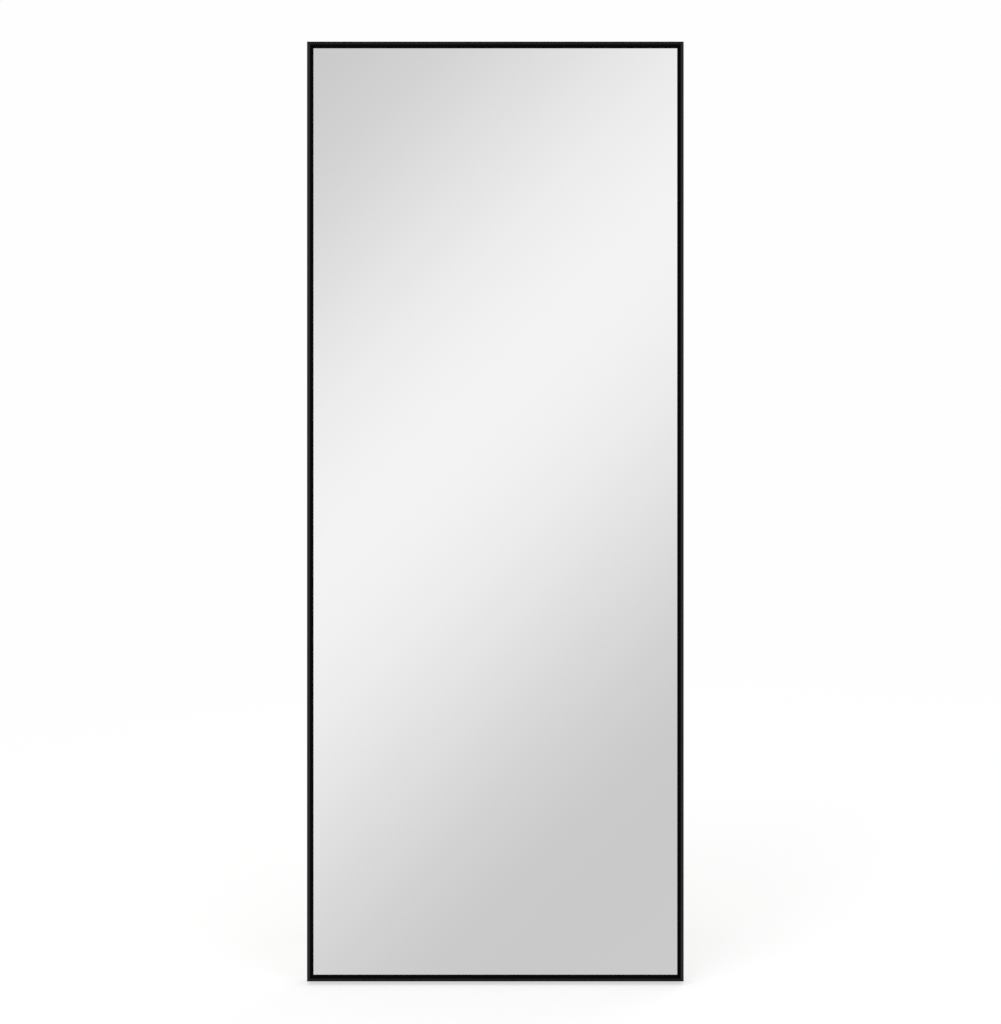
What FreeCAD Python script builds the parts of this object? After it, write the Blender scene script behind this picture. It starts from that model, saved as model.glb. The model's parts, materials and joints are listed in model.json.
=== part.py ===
import FreeCAD, Part
import math
import os

# Leaning floor mirror, 602 x 1502 mm, in a slim black aluminium frame.
#
# Four mitred rails hold a sandwich of glass, safety film, foam and back board in
# a groove. Die-cast keys join the rails at the corners, and screws driven from
# the back lock them. A U-shaped stand of steel tube turns on two brackets behind
# the glass: swung out, it meets a stop and the mirror leans back on it; swung
# in, it lies inside the depth of the frame and a clip holds it, so that the
# mirror can lean on a wall or hang flat from the two keyhole plates.
#
# Every piece is drawn in the mirror's own frame, with the glass upright: x to
# the right as seen from the front, y backwards from the front face of the
# frame, z up from its bottom edge. lean_back() then sets it on the floor.
# Left and right are as seen from the front. Lengths are in millimetres.

# --- Overall size -------------------------------------------------------------
FRAME_WIDTH = 602.0
FRAME_HEIGHT = 1502.0
FRAME_DEPTH = 30.0

# --- Rail section ---------------------------------------------------------------
RIM_WIDTH = 4.7          # flat front face, along the outside
SIGHT_WIDTH = 10.1       # whole width of the frame seen from the front
BEVEL_DEPTH = 4.6        # how far the bevel falls between the rim and the glass
LIP_NOSE = 0.8           # thickness of the bevel's inner edge, which holds the glass
RAIL_WALL = 1.4
RAIL_EDGE_RADIUS = 0.5
RIM_INNER_RADIUS = 0.25
NOSE_RADIUS = 0.2
MITRE_GAP = 0.12         # hairline left between two mitred ends

# --- Glass sandwich, front to back ----------------------------------------------
GLASS_THICKNESS = 4.0
FILM_THICKNESS = 0.3
FOAM_THICKNESS = 1.7
BOARD_THICKNESS = 3.0
PANEL_EDGE_GAP = 2.0     # from the floor of the groove to the edge of the glass
FILM_MARGIN = 1.0        # film and foam stop this far inside the glass edge

SETTING_BLOCK_LENGTH = 50.0
SETTING_BLOCK_SIDE_INSET = 141.0   # side of the frame to the middle of the block
SETTING_BLOCK_PLAY = 0.1

# --- Screws ---------------------------------------------------------------------
SCREW_RADIUS = 2.0
SCREW_HOLE_PLAY = 0.05
SCREW_HEAD_RADIUS = 3.8
SCREW_HEAD_HEIGHT = 2.4
SCREW_HEAD_ROUNDING = 1.3
CROSS_SLOT_WIDTH = 0.9
CROSS_SLOT_LENGTH = 4.4
CROSS_SLOT_DEPTH = 1.3

# --- Corner keys ----------------------------------------------------------------
KEY_PLAY = 0.15          # between a key and the walls of the rail around it
KEY_LEG_LENGTH = 46.0    # from the rail's outer corner
KEY_SCREW_INSET = 34.0   # from the rail's outer corner, along each leg
KEY_SCREW_LENGTH = 11.0
KEY_CORNER_RADIUS = 1.0

# --- Keyhole plates on the two top corners --------------------------------------
PLATE_THICKNESS = 1.5
PLATE_EDGE_INSET = 1.0
PLATE_LEG = 66.0         # along each rail, from the rail's outer corner
PLATE_TIP_WIDTH = 8.0
PLATE_CORNER_RADIUS = 2.0
KEYHOLE_SIDE_INSET = 21.0
KEYHOLE_ENTRY_DROP = 26.0    # top edge of the frame to the round part's centre
KEYHOLE_SEAT_DROP = 16.0     # top edge of the frame to the slot's round end
KEYHOLE_ENTRY_RADIUS = 4.5
KEYHOLE_SLOT_RADIUS = 2.2

# --- Rubber feet under the bottom rail -------------------------------------------
FOOT_SIDE_INSET = 86.0       # side of the frame to the middle of the foot
FOOT_LENGTH = 52.0
FOOT_WIDTH = 8.0
FOOT_REAR_INSET = 1.5        # they sit so far back that the frame hides them from the front
FOOT_REAR_THICKNESS = 1.5    # thinnest place, at the rear edge of the sole
FOOT_CORNER_RADIUS = 3.0
FOOT_STEM_RADIUS = 2.5
FOOT_STEM_PLAY = 0.1
FOOT_STEM_LONG_SPACING = 32.0
FOOT_BARB_RADIUS = 3.4
FOOT_BARB_HEIGHT = 3.0

# --- Rubber buffers on the back, for a wall -----------------------------------------
BUFFER_SIDE_INSET = 101.0    # side of the frame to the middle of the buffer
BUFFER_RADIUS = 4.6
BUFFER_HEIGHT = 5.0
BUFFER_ROUNDING = 1.2

# --- Stand ------------------------------------------------------------------------
PIVOT_HEIGHT = 1100.0        # above the frame's bottom edge
OPEN_ANGLE = 14.5            # between the folded stand and its stop, in degrees
TUBE_RADIUS = 6.0
TUBE_WALL = 1.2
TUBE_BEND_RADIUS = 40.0
BAR_CLEARANCE = 1.0          # folded, between the foot sleeves and the bottom rail
BOARD_CLEARANCE = 0.4        # folded, between the foot sleeves and the back board
SLEEVE_THICKNESS = 1.5
SLEEVE_LENGTH = 46.0
SLEEVE_LEG_INSET = 98.8      # middle of the leg to the middle of the sleeve
SLEEVE_PLAY = 0.05
SLEEVE_GROOVES = 5
SLEEVE_GROOVE_WIDTH = 2.0
SLEEVE_GROOVE_DEPTH = 0.6

# --- Hinge ------------------------------------------------------------------------
BRACKET_THICKNESS = 2.0
BRACKET_FLANGE = 16.0        # across the board, from the rail's inner wall
BRACKET_BELOW = 12.0
BRACKET_ABOVE = 54.0
BRACKET_REAR_INSET = 1.0
BRACKET_BEND_RADIUS = 0.6
BRACKET_CORNER_RADIUS = 4.0
BRACKET_SCREW_LOW = 26.0     # above the pivot
BRACKET_SCREW_HIGH = 43.0
BRACKET_SCREW_LENGTH = 6.6
EYE_THICKNESS = 8.0
EYE_CLEARANCE = 0.3          # between the turning eye and the bracket's flange
EYE_END_PLAY = 0.1           # between the eye and the washer at each side of it
STOP_GAP = 0.1               # left at the stop, with the stand open
HEEL_REACH = 14.0            # length of the flat that meets the flange
HEEL_THICKNESS = 7.5
HEEL_RADIUS = 1.5
NECK_WIDTH = 9.6
NECK_LENGTH = 16.0
COLLAR_HEIGHT = 2.0
SPIGOT_LENGTH = 25.0
SPIGOT_PLAY = 0.1
PIN_RADIUS = 3.0
PIN_PLAY = 0.05
PIN_FLARE = 1.4              # how much the riveted end spreads in its countersink
PIN_FLARE_DEPTH = 1.4
PIN_HEAD_RADIUS = 4.8
PIN_HEAD_HEIGHT = 2.6
PIN_HEAD_ROUNDING = 1.8
WASHER_THICKNESS = 1.0
WASHER_PLAY = 0.1            # around the pin
WASHER_CLEARANCE = 0.2       # between a washer and the bend of the bracket

# --- Clip that holds the folded stand -------------------------------------------------
CLIP_LENGTH = 26.0
CLIP_JAW_PLAY = 0.3          # around the tube
CLIP_CHEEK = 2.2             # thickness of the jaw's upper cheek
CLIP_RAIL_GAP = 0.2          # under the jaw's lower cheek, which fills the room above the rail
CLIP_REAR_INSET = 2.0        # short of the frame's rear face
CLIP_LEAD_IN = 1.2
CLIP_TAB_THICKNESS = 3.0
CLIP_TAB_HEIGHT = 16.0
CLIP_SCREW_X = 7.5
CLIP_SCREW_RISE = 8.0        # above the foot of the tab
CLIP_SCREW_LENGTH = 5.4
CLIP_SCREW_RADIUS = 1.5
CLIP_HEAD_RADIUS = 2.9
CLIP_HEAD_HEIGHT = 1.8
CLIP_HEAD_ROUNDING = 1.0
CLIP_SLOT_LENGTH = 3.4
CLIP_SLOT_DEPTH = 0.9

# --- What follows from those sizes ------------------------------------------------------
GROOVE_FRONT = BEVEL_DEPTH + LIP_NOSE
GLASS_REAR = GROOVE_FRONT + GLASS_THICKNESS
FILM_REAR = GLASS_REAR + FILM_THICKNESS
FOAM_REAR = FILM_REAR + FOAM_THICKNESS
BOARD_REAR = FOAM_REAR + BOARD_THICKNESS
GROOVE_REAR = BOARD_REAR
CHAMBER_FRONT = GROOVE_REAR + RAIL_WALL
CHAMBER_REAR = FRAME_DEPTH - RAIL_WALL
CHAMBER_INNER = SIGHT_WIDTH - RAIL_WALL
PANEL_INSET = RAIL_WALL + PANEL_EDGE_GAP

SLEEVE_RADIUS = TUBE_RADIUS + SLEEVE_THICKNESS
PIVOT_Y = BOARD_REAR + BOARD_CLEARANCE + SLEEVE_RADIUS
BAR_HEIGHT = SIGHT_WIDTH + BAR_CLEARANCE + SLEEVE_RADIUS
LEG_LENGTH = PIVOT_HEIGHT - BAR_HEIGHT
SETTING_BLOCK_X = FRAME_WIDTH / 2 - SETTING_BLOCK_SIDE_INSET
FOOT_X = FRAME_WIDTH / 2 - FOOT_SIDE_INSET
RAIL_INNER_X = FRAME_WIDTH / 2 - SIGHT_WIDTH
BRACKET_FACE_X = RAIL_INNER_X - BRACKET_THICKNESS
EYE_OUTER_X = BRACKET_FACE_X - WASHER_THICKNESS - EYE_END_PLAY
EYE_INNER_X = EYE_OUTER_X - EYE_THICKNESS
INNER_WASHER_X = EYE_INNER_X - EYE_END_PLAY
LEG_X = (EYE_OUTER_X + EYE_INNER_X) / 2
SLEEVE_X = LEG_X - SLEEVE_LEG_INSET
FLANGE_Y = BOARD_REAR + BRACKET_THICKNESS
STOP_DISTANCE = PIVOT_Y - FLANGE_Y
EYE_RADIUS = STOP_DISTANCE - EYE_CLEARANCE
WASHER_RADIUS = STOP_DISTANCE - BRACKET_BEND_RADIUS - WASHER_CLEARANCE

SIDES = {"left": -1, "right": 1}
ENDS = {"bottom": -1, "top": 1}

OVERRUN = 1.0            # how far a cutting shape runs past the face that it opens
SAME = 1e-6              # two lengths closer than this are the same


# --- How the mirror stands ----------------------------------------------------------------
def sole_rear_edge():
    """(y, z) of the line that the rubber feet touch the floor with, at their rear."""
    return FRAME_DEPTH - FOOT_REAR_INSET, -FOOT_REAR_THICKNESS


def open_bar_centre():
    """(y, z) of the stand's foot bar with the stand swung out to its stop."""
    swing = math.radians(OPEN_ANGLE)
    return PIVOT_Y + LEG_LENGTH * math.sin(swing), PIVOT_HEIGHT - LEG_LENGTH * math.cos(swing)


def lean_angle():
    """How far the glass leans back, in radians: the floor passes under both feet."""
    front_y, front_z = sole_rear_edge()
    bar_y, bar_z = open_bar_centre()
    across = bar_y - front_y
    up = bar_z - front_z
    return math.atan2(up, across) - math.asin(SLEEVE_RADIUS / math.hypot(across, up))


LEAN = lean_angle()


def lean_placement():
    """From the mirror's own frame to the floor, with the origin in the middle of the footprint."""
    turn = FreeCAD.Rotation(FreeCAD.Vector(1, 0, 0), -math.degrees(LEAN))
    sole = turn.multVec(FreeCAD.Vector(0, *sole_rear_edge()))
    bar = turn.multVec(FreeCAD.Vector(0, *open_bar_centre()))
    buffer_edge = FreeCAD.Vector(
        0, FRAME_DEPTH + BUFFER_HEIGHT, FRAME_HEIGHT - SIGHT_WIDTH / 2 + BUFFER_RADIUS
    )
    front = RAIL_EDGE_RADIUS * (math.cos(LEAN) + math.sin(LEAN) - 1)
    rear = max(bar.y + SLEEVE_RADIUS, turn.multVec(buffer_edge).y)
    return FreeCAD.Placement(FreeCAD.Vector(0, -(front + rear) / 2, -sole.z), turn)


def lean_back(shape):
    """A copy of a shape drawn in the mirror's own frame, set on the floor."""
    placed = shape.copy()
    placed.Placement = lean_placement().multiply(placed.Placement)
    return placed


def swing_open(shape):
    """A copy of a folded stand piece, turned about the pivot to its stop."""
    opened = shape.copy()
    opened.rotate(FreeCAD.Vector(0, PIVOT_Y, PIVOT_HEIGHT), FreeCAD.Vector(1, 0, 0), OPEN_ANGLE)
    return opened


# --- Drawing helpers ------------------------------------------------------------------------
def box(x_range, y_range, z_range):
    """A block between two values on each axis, given in either order."""
    low = FreeCAD.Vector(min(x_range), min(y_range), min(z_range))
    high = FreeCAD.Vector(max(x_range), max(y_range), max(z_range))
    size = high - low
    return Part.makeBox(size.x, size.y, size.z, low)


def rod(radius, start, end):
    """A round bar between two points."""
    axis = end - start
    return Part.makeCylinder(radius, axis.Length, start, axis)


def in_xz(a, b):
    return FreeCAD.Vector(a, 0, b)


def in_yz(a, b):
    return FreeCAD.Vector(0, a, b)


def in_xy(a, b):
    return FreeCAD.Vector(a, b, 0)


def rounded_face(corners, plane):
    """A flat face through corners (a, b, radius), each rounded to its radius."""
    points = [plane(a, b) for a, b, _ in corners]
    arrive = []
    leave = []
    middle = []
    for i, (_, _, radius) in enumerate(corners):
        to_last = (points[i - 1] - points[i]).normalize()
        to_next = (points[(i + 1) % len(points)] - points[i]).normalize()
        half = to_last.getAngle(to_next) / 2
        reach = radius / math.tan(half)
        inward = (to_last + to_next).normalize()
        arrive.append(points[i] + to_last * reach)
        leave.append(points[i] + to_next * reach)
        middle.append(points[i] + inward * (radius / math.sin(half) - radius))
    edges = []
    for i, (_, _, radius) in enumerate(corners):
        if radius > 0:
            edges.append(Part.Arc(arrive[i], middle[i], leave[i]).toShape())
        following = arrive[(i + 1) % len(points)]
        edges.append(Part.LineSegment(leave[i], following).toShape())
    return Part.Face(Part.Wire(edges))


def prism(corners, plane, start, end):
    """The rounded face through the corners, from start to end along its plane's normal."""
    normal = plane(1, 0).cross(plane(0, 1))
    direction = FreeCAD.Vector(abs(normal.x), abs(normal.y), abs(normal.z))
    face = rounded_face(corners, plane)
    face.translate(direction * min(start, end))
    return face.extrude(direction * abs(end - start))


def square(points, radius=0.0):
    """Corners (a, b) with one radius for all."""
    return [(a, b, radius) for a, b in points]


def rectangle(a_range, b_range, radius=0.0):
    """The four corners of a rectangle, in order."""
    (a0, a1), (b0, b1) = a_range, b_range
    return square([(a0, b0), (a1, b0), (a1, b1), (a0, b1)], radius)


def corner_xz(side, end, from_side, from_end):
    """(x, z) of a point inset from one of the frame's four outer corners."""
    x = side * (FRAME_WIDTH / 2 - from_side)
    z = FRAME_HEIGHT / 2 + end * (FRAME_HEIGHT / 2 - from_end)
    return x, z


def rounded_end(shape, radius, rim_radius, plane_value, axis):
    """The shape with the outer edge of a round head rounded off."""
    edges = [
        e for e in shape.Edges
        if isinstance(e.Curve, Part.Circle)
        and abs(e.Curve.Radius - rim_radius) < SAME
        and abs(getattr(e.Curve.Center, axis) - plane_value) < SAME
    ]
    return shape.makeFillet(radius, edges)


def cross_screw(radius, length, head_radius, head_height, rounding, slot_length, slot_depth):
    """A pan-head screw at the origin: the head towards +y, the shank towards -y."""
    origin = FreeCAD.Vector(0, 0, 0)
    head = rod(head_radius, origin, FreeCAD.Vector(0, head_height, 0))
    head = rounded_end(head, rounding, head_radius, head_height, "y")
    slot_y = (head_height - slot_depth, head_height)
    half_length = slot_length / 2
    half_width = CROSS_SLOT_WIDTH / 2
    slots = [
        box((-half_length, half_length), slot_y, (-half_width, half_width)),
        box((-half_width, half_width), slot_y, (-half_length, half_length)),
    ]
    shank = rod(radius, origin, FreeCAD.Vector(0, -length, 0))
    return head.cut(slots[0].fuse(slots[1])).fuse(shank)


def frame_screw(length):
    return cross_screw(SCREW_RADIUS, length, SCREW_HEAD_RADIUS, SCREW_HEAD_HEIGHT,
                       SCREW_HEAD_ROUNDING, CROSS_SLOT_LENGTH, CROSS_SLOT_DEPTH)


def screw_hole(start, end):
    return rod(SCREW_RADIUS + SCREW_HOLE_PLAY, start, end)


# --- Rails -----------------------------------------------------------------------------------
def rail_section():
    """The extruded section of a rail, in (y, inset from the outside), with its two hollows."""
    outer = rounded_face([
        (0, 0, RAIL_EDGE_RADIUS),
        (0, RIM_WIDTH, RIM_INNER_RADIUS),
        (BEVEL_DEPTH, SIGHT_WIDTH, NOSE_RADIUS),
        (GROOVE_FRONT, SIGHT_WIDTH, NOSE_RADIUS),
        (GROOVE_FRONT, RAIL_WALL, 0),
        (GROOVE_REAR, RAIL_WALL, 0),
        (GROOVE_REAR, SIGHT_WIDTH, NOSE_RADIUS),
        (FRAME_DEPTH, SIGHT_WIDTH, RAIL_EDGE_RADIUS),
        (FRAME_DEPTH, 0, RAIL_EDGE_RADIUS),
    ], in_yz)
    bevel_run = SIGHT_WIDTH - RIM_WIDTH
    wall_across_bevel = RAIL_WALL * math.hypot(BEVEL_DEPTH, bevel_run) / BEVEL_DEPTH
    hollow_rear = GROOVE_FRONT - RAIL_WALL

    def hollow_edge(y):
        """Inset of the front hollow's slanted side, one wall behind the bevel."""
        return RIM_WIDTH + y * bevel_run / BEVEL_DEPTH - wall_across_bevel

    front_hollow = rounded_face(square([
        (RAIL_WALL, RAIL_WALL),
        (RAIL_WALL, hollow_edge(RAIL_WALL)),
        (hollow_rear, hollow_edge(hollow_rear)),
        (hollow_rear, RAIL_WALL),
    ]), in_yz)
    chamber = rounded_face(
        rectangle((CHAMBER_FRONT, CHAMBER_REAR), (RAIL_WALL, CHAMBER_INNER)), in_yz
    )
    return outer.cut(front_hollow).cut(chamber)


def rail(length, across, turn):
    """One mitred rail: drawn along the bottom, then turned about the middle of the frame."""
    bar = rail_section()
    bar.translate(FreeCAD.Vector(-length / 2, 0, -across / 2))
    bar = bar.extrude(FreeCAD.Vector(length, 0, 0))
    end_setback = MITRE_GAP / 2 * math.sqrt(2)
    low = -across / 2
    outside = length / 2 - end_setback
    mitred = prism(square([
        (-outside, low),
        (outside, low),
        (outside - SIGHT_WIDTH, low + SIGHT_WIDTH),
        (-outside + SIGHT_WIDTH, low + SIGHT_WIDTH),
    ]), in_xz, 0, FRAME_DEPTH)
    shape = bar.common(mitred)
    shape.rotate(FreeCAD.Vector(0, 0, 0), FreeCAD.Vector(0, 1, 0), turn)
    shape.translate(FreeCAD.Vector(0, 0, FRAME_HEIGHT / 2))
    return shape


def corner_screw_spots(side, end):
    """(x, z) of the two screws that lock one corner."""
    middle = SIGHT_WIDTH / 2
    return [
        corner_xz(side, end, KEY_SCREW_INSET, middle),
        corner_xz(side, end, middle, KEY_SCREW_INSET),
    ]


def rear_holes():
    """The screw holes through the rear wall of the rails, at all four corners."""
    holes = []
    for side in SIDES.values():
        for end in ENDS.values():
            for x, z in corner_screw_spots(side, end):
                front = FreeCAD.Vector(x, CHAMBER_REAR - OVERRUN, z)
                rear = FreeCAD.Vector(x, FRAME_DEPTH + OVERRUN, z)
                holes.append(screw_hole(front, rear))
    return holes


def bracket_screw_heights():
    return PIVOT_HEIGHT + BRACKET_SCREW_LOW, PIVOT_HEIGHT + BRACKET_SCREW_HIGH


def bracket_holes(side):
    """The two screw holes through one hinge bracket and the rail's inner wall."""
    holes = []
    for z in bracket_screw_heights():
        start = FreeCAD.Vector(side * (BRACKET_FACE_X - OVERRUN), PIVOT_Y, z)
        end = FreeCAD.Vector(side * (RAIL_INNER_X + RAIL_WALL + OVERRUN), PIVOT_Y, z)
        holes.append(screw_hole(start, end))
    return holes


def foot_stem_spots(side):
    """x of the two stems of one rubber foot."""
    half = FOOT_STEM_LONG_SPACING / 2
    return side * (FOOT_X - half), side * (FOOT_X + half)


def foot_stem_y():
    return FRAME_DEPTH - FOOT_REAR_INSET - FOOT_WIDTH / 2


def foot_holes():
    """The holes in the underside of the bottom rail that the feet's stems push into."""
    holes = []
    for side in SIDES.values():
        for x in foot_stem_spots(side):
            start = FreeCAD.Vector(x, foot_stem_y(), -OVERRUN)
            end = FreeCAD.Vector(x, foot_stem_y(), RAIL_WALL + OVERRUN)
            holes.append(rod(FOOT_STEM_RADIUS + FOOT_STEM_PLAY, start, end))
    return holes


def rails():
    """The four rails, with their holes."""
    made = {
        "bottom_rail": rail(FRAME_WIDTH, FRAME_HEIGHT, 0),
        "top_rail": rail(FRAME_WIDTH, FRAME_HEIGHT, 180),
        "right_rail": rail(FRAME_HEIGHT, FRAME_WIDTH, -90),
        "left_rail": rail(FRAME_HEIGHT, FRAME_WIDTH, 90),
    }
    corner_holes = Part.makeCompound(rear_holes())
    for name in made:
        made[name] = made[name].cut(corner_holes)
    made["bottom_rail"] = made["bottom_rail"].cut(Part.makeCompound(foot_holes()))
    for word, side in SIDES.items():
        holes = Part.makeCompound(bracket_holes(side))
        made[word + "_rail"] = made[word + "_rail"].cut(holes)
    return made


# --- Corner keys and their screws ----------------------------------------------------------------
def corner_key(side, end):
    """The L-shaped key inside one corner, tapped for its two screws."""
    outside = RAIL_WALL + KEY_PLAY
    inside = CHAMBER_INNER - KEY_PLAY
    insets = [
        (outside, outside, KEY_CORNER_RADIUS),
        (KEY_LEG_LENGTH, outside, KEY_CORNER_RADIUS),
        (KEY_LEG_LENGTH, inside, KEY_CORNER_RADIUS),
        (inside, inside, 0),
        (inside, KEY_LEG_LENGTH, KEY_CORNER_RADIUS),
        (outside, KEY_LEG_LENGTH, KEY_CORNER_RADIUS),
    ]
    corners = []
    for from_side, from_end, radius in insets:
        x, z = corner_xz(side, end, from_side, from_end)
        corners.append((x, z, radius))
    front = CHAMBER_FRONT + KEY_PLAY
    rear = CHAMBER_REAR - KEY_PLAY
    key = prism(corners, in_xz, front, rear)
    for x, z in corner_screw_spots(side, end):
        hole = screw_hole(FreeCAD.Vector(x, front, z), FreeCAD.Vector(x, rear, z))
        key = key.cut(hole)
    return key


def corner_keys():
    return {
        f"corner_key_{end_word}_{side_word}": corner_key(side, end)
        for end_word, end in ENDS.items()
        for side_word, side in SIDES.items()
    }


def corner_screws():
    """Two screws at each corner. At the top they also hold the keyhole plates."""
    screws = []
    for side in SIDES.values():
        for end in ENDS.values():
            seat = FRAME_DEPTH + (PLATE_THICKNESS if end > 0 else 0)
            for x, z in corner_screw_spots(side, end):
                screw = frame_screw(KEY_SCREW_LENGTH)
                screw.translate(FreeCAD.Vector(x, seat, z))
                screws.append(screw)
    return Part.makeCompound(screws)


# --- Glass sandwich ----------------------------------------------------------------------------------
def sheet(front, rear, inset):
    """A flat layer of the sandwich, inset from the frame's outside all round."""
    half_width = FRAME_WIDTH / 2 - inset
    return box((-half_width, half_width), (front, rear), (inset, FRAME_HEIGHT - inset))


def panel():
    inner = PANEL_INSET + FILM_MARGIN
    return {
        "mirror_glass": sheet(GROOVE_FRONT, GLASS_REAR, PANEL_INSET),
        "safety_film": sheet(GLASS_REAR, FILM_REAR, inner),
        "foam_pad": sheet(FILM_REAR, FOAM_REAR, inner),
        "back_board": back_board(),
    }


def back_board():
    """The board behind the glass, with pilot holes for the clip's two screws."""
    board = sheet(FOAM_REAR, BOARD_REAR, PANEL_INSET)
    for x, z in clip_screw_spots():
        start = FreeCAD.Vector(x, BOARD_REAR - clip_screw_bite(), z)
        end = FreeCAD.Vector(x, BOARD_REAR + OVERRUN, z)
        board = board.cut(rod(CLIP_SCREW_RADIUS + SCREW_HOLE_PLAY, start, end))
    return board


def setting_block(side):
    """The rubber block that carries the glass on the floor of the bottom groove."""
    middle = side * SETTING_BLOCK_X
    half = SETTING_BLOCK_LENGTH / 2
    return box(
        (middle - half, middle + half),
        (GROOVE_FRONT + SETTING_BLOCK_PLAY, GROOVE_REAR - SETTING_BLOCK_PLAY),
        (RAIL_WALL, PANEL_INSET),
    )


# --- Keyhole plates -----------------------------------------------------------------------------------
def keyhole_spots(side):
    """(x, z) of the keyhole's round part, and of the end of its slot."""
    entry = corner_xz(side, 1, KEYHOLE_SIDE_INSET, KEYHOLE_ENTRY_DROP)
    seat = corner_xz(side, 1, KEYHOLE_SIDE_INSET, KEYHOLE_SEAT_DROP)
    return entry, seat


def keyhole_plate(side):
    """A three-sided steel plate across a top corner, with a keyhole for a wall screw."""
    radius = PLATE_CORNER_RADIUS
    tip = PLATE_EDGE_INSET + PLATE_TIP_WIDTH
    insets = [
        (PLATE_EDGE_INSET, PLATE_EDGE_INSET, radius),
        (PLATE_LEG, PLATE_EDGE_INSET, radius),
        (PLATE_LEG, tip, radius),
        (tip, PLATE_LEG, radius),
        (PLATE_EDGE_INSET, PLATE_LEG, radius),
    ]
    corners = []
    for from_side, from_end, corner_radius in insets:
        x, z = corner_xz(side, 1, from_side, from_end)
        corners.append((x, z, corner_radius))
    front = FRAME_DEPTH
    rear = FRAME_DEPTH + PLATE_THICKNESS
    plate = prism(corners, in_xz, front, rear)
    (x, entry_z), (_, seat_z) = keyhole_spots(side)
    slot = box((x - KEYHOLE_SLOT_RADIUS, x + KEYHOLE_SLOT_RADIUS), (front, rear),
               (entry_z, seat_z))
    round_end = rod(KEYHOLE_SLOT_RADIUS, FreeCAD.Vector(x, front, seat_z),
                    FreeCAD.Vector(x, rear, seat_z))
    entry = rod(KEYHOLE_ENTRY_RADIUS, FreeCAD.Vector(x, front, entry_z),
                FreeCAD.Vector(x, rear, entry_z))
    plate = plate.cut(slot.fuse(round_end).fuse(entry))
    for x, z in corner_screw_spots(side, 1):
        hole = screw_hole(FreeCAD.Vector(x, front, z), FreeCAD.Vector(x, rear, z))
        plate = plate.cut(hole)
    return plate


# --- Rubber feet and buffers ----------------------------------------------------------------------------
def floor_height_at(y):
    """z of the floor under the frame, in the mirror's own frame."""
    sole_y, sole_z = sole_rear_edge()
    return sole_z + (y - sole_y) * math.tan(LEAN)


def floor_foot(side):
    """A wedge of rubber with a level sole, held by two barbed stems."""
    rear = FRAME_DEPTH - FOOT_REAR_INSET
    front = rear - FOOT_WIDTH
    middle = side * FOOT_X
    half = FOOT_LENGTH / 2
    wedge = prism(square([
        (front, 0),
        (rear, 0),
        (rear, floor_height_at(rear)),
        (front, floor_height_at(front)),
    ]), in_yz, middle - half, middle + half)
    plan = prism(rectangle((middle - half, middle + half), (front, rear), FOOT_CORNER_RADIUS),
                 in_xy, floor_height_at(front), 0)
    foot = wedge.common(plan)
    for x in foot_stem_spots(side):
        base = FreeCAD.Vector(x, foot_stem_y(), 0)
        neck = FreeCAD.Vector(x, foot_stem_y(), RAIL_WALL + FOOT_STEM_PLAY)
        foot = foot.fuse(rod(FOOT_STEM_RADIUS, base, neck))
        barb = Part.makeCone(FOOT_BARB_RADIUS, FOOT_STEM_RADIUS / 2, FOOT_BARB_HEIGHT, neck)
        foot = foot.fuse(barb)
    return foot.removeSplitter()


def wall_buffer(side, end):
    """A round rubber button stuck to the back of the top or bottom rail."""
    x, z = corner_xz(side, end, BUFFER_SIDE_INSET, SIGHT_WIDTH / 2)
    rear = FRAME_DEPTH + BUFFER_HEIGHT
    button = rod(BUFFER_RADIUS, FreeCAD.Vector(x, FRAME_DEPTH, z), FreeCAD.Vector(x, rear, z))
    return rounded_end(button, BUFFER_ROUNDING, BUFFER_RADIUS, rear, "y")


def wall_buffers():
    return {
        f"wall_buffer_{end_word}_{side_word}": wall_buffer(side, end)
        for end_word, end in ENDS.items()
        for side_word, side in SIDES.items()
    }


# --- Hinge -----------------------------------------------------------------------------------------------
def hinge_bracket(side):
    """An angle bracket on the rail's inner wall. Its flange lies on the board and is the stop."""
    low = PIVOT_HEIGHT - BRACKET_BELOW
    high = PIVOT_HEIGHT + BRACKET_ABOVE
    rear = FRAME_DEPTH - BRACKET_REAR_INSET
    wall_x = side * RAIL_INNER_X
    face_x = side * BRACKET_FACE_X
    tip_x = side * (RAIL_INNER_X - BRACKET_FLANGE)
    outer_bend = BRACKET_BEND_RADIUS + BRACKET_THICKNESS
    angle = prism([
        (wall_x, BOARD_REAR, outer_bend),
        (wall_x, rear, 0),
        (face_x, rear, 0),
        (face_x, FLANGE_Y, BRACKET_BEND_RADIUS),
        (tip_x, FLANGE_Y, 0),
        (tip_x, BOARD_REAR, 0),
    ], in_xy, low, high)
    plate_outline = prism(rectangle((BOARD_REAR - outer_bend * 2, rear), (low, high),
                                    BRACKET_CORNER_RADIUS), in_yz, wall_x, tip_x)
    flange_outline = prism(rectangle((tip_x, wall_x + side * outer_bend * 2), (low, high),
                                     BRACKET_CORNER_RADIUS), in_xz, BOARD_REAR, rear)
    bracket = angle.common(plate_outline).common(flange_outline)
    bracket = bracket.cut(Part.makeCompound(bracket_holes(side)))
    inside = FreeCAD.Vector(face_x - side * OVERRUN, PIVOT_Y, PIVOT_HEIGHT)
    outside = FreeCAD.Vector(wall_x, PIVOT_Y, PIVOT_HEIGHT)
    bracket = bracket.cut(rod(PIN_RADIUS, inside, outside))
    return bracket.cut(pin_flare(side))


def pin_flare(side):
    """The cone of the riveted end, sunk into the bracket against the rail."""
    root = FreeCAD.Vector(side * (RAIL_INNER_X - PIN_FLARE_DEPTH), PIVOT_Y, PIVOT_HEIGHT)
    outwards = FreeCAD.Vector(side, 0, 0)
    return Part.makeCone(PIN_RADIUS, PIN_RADIUS + PIN_FLARE, PIN_FLARE_DEPTH, root, outwards)


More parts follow.
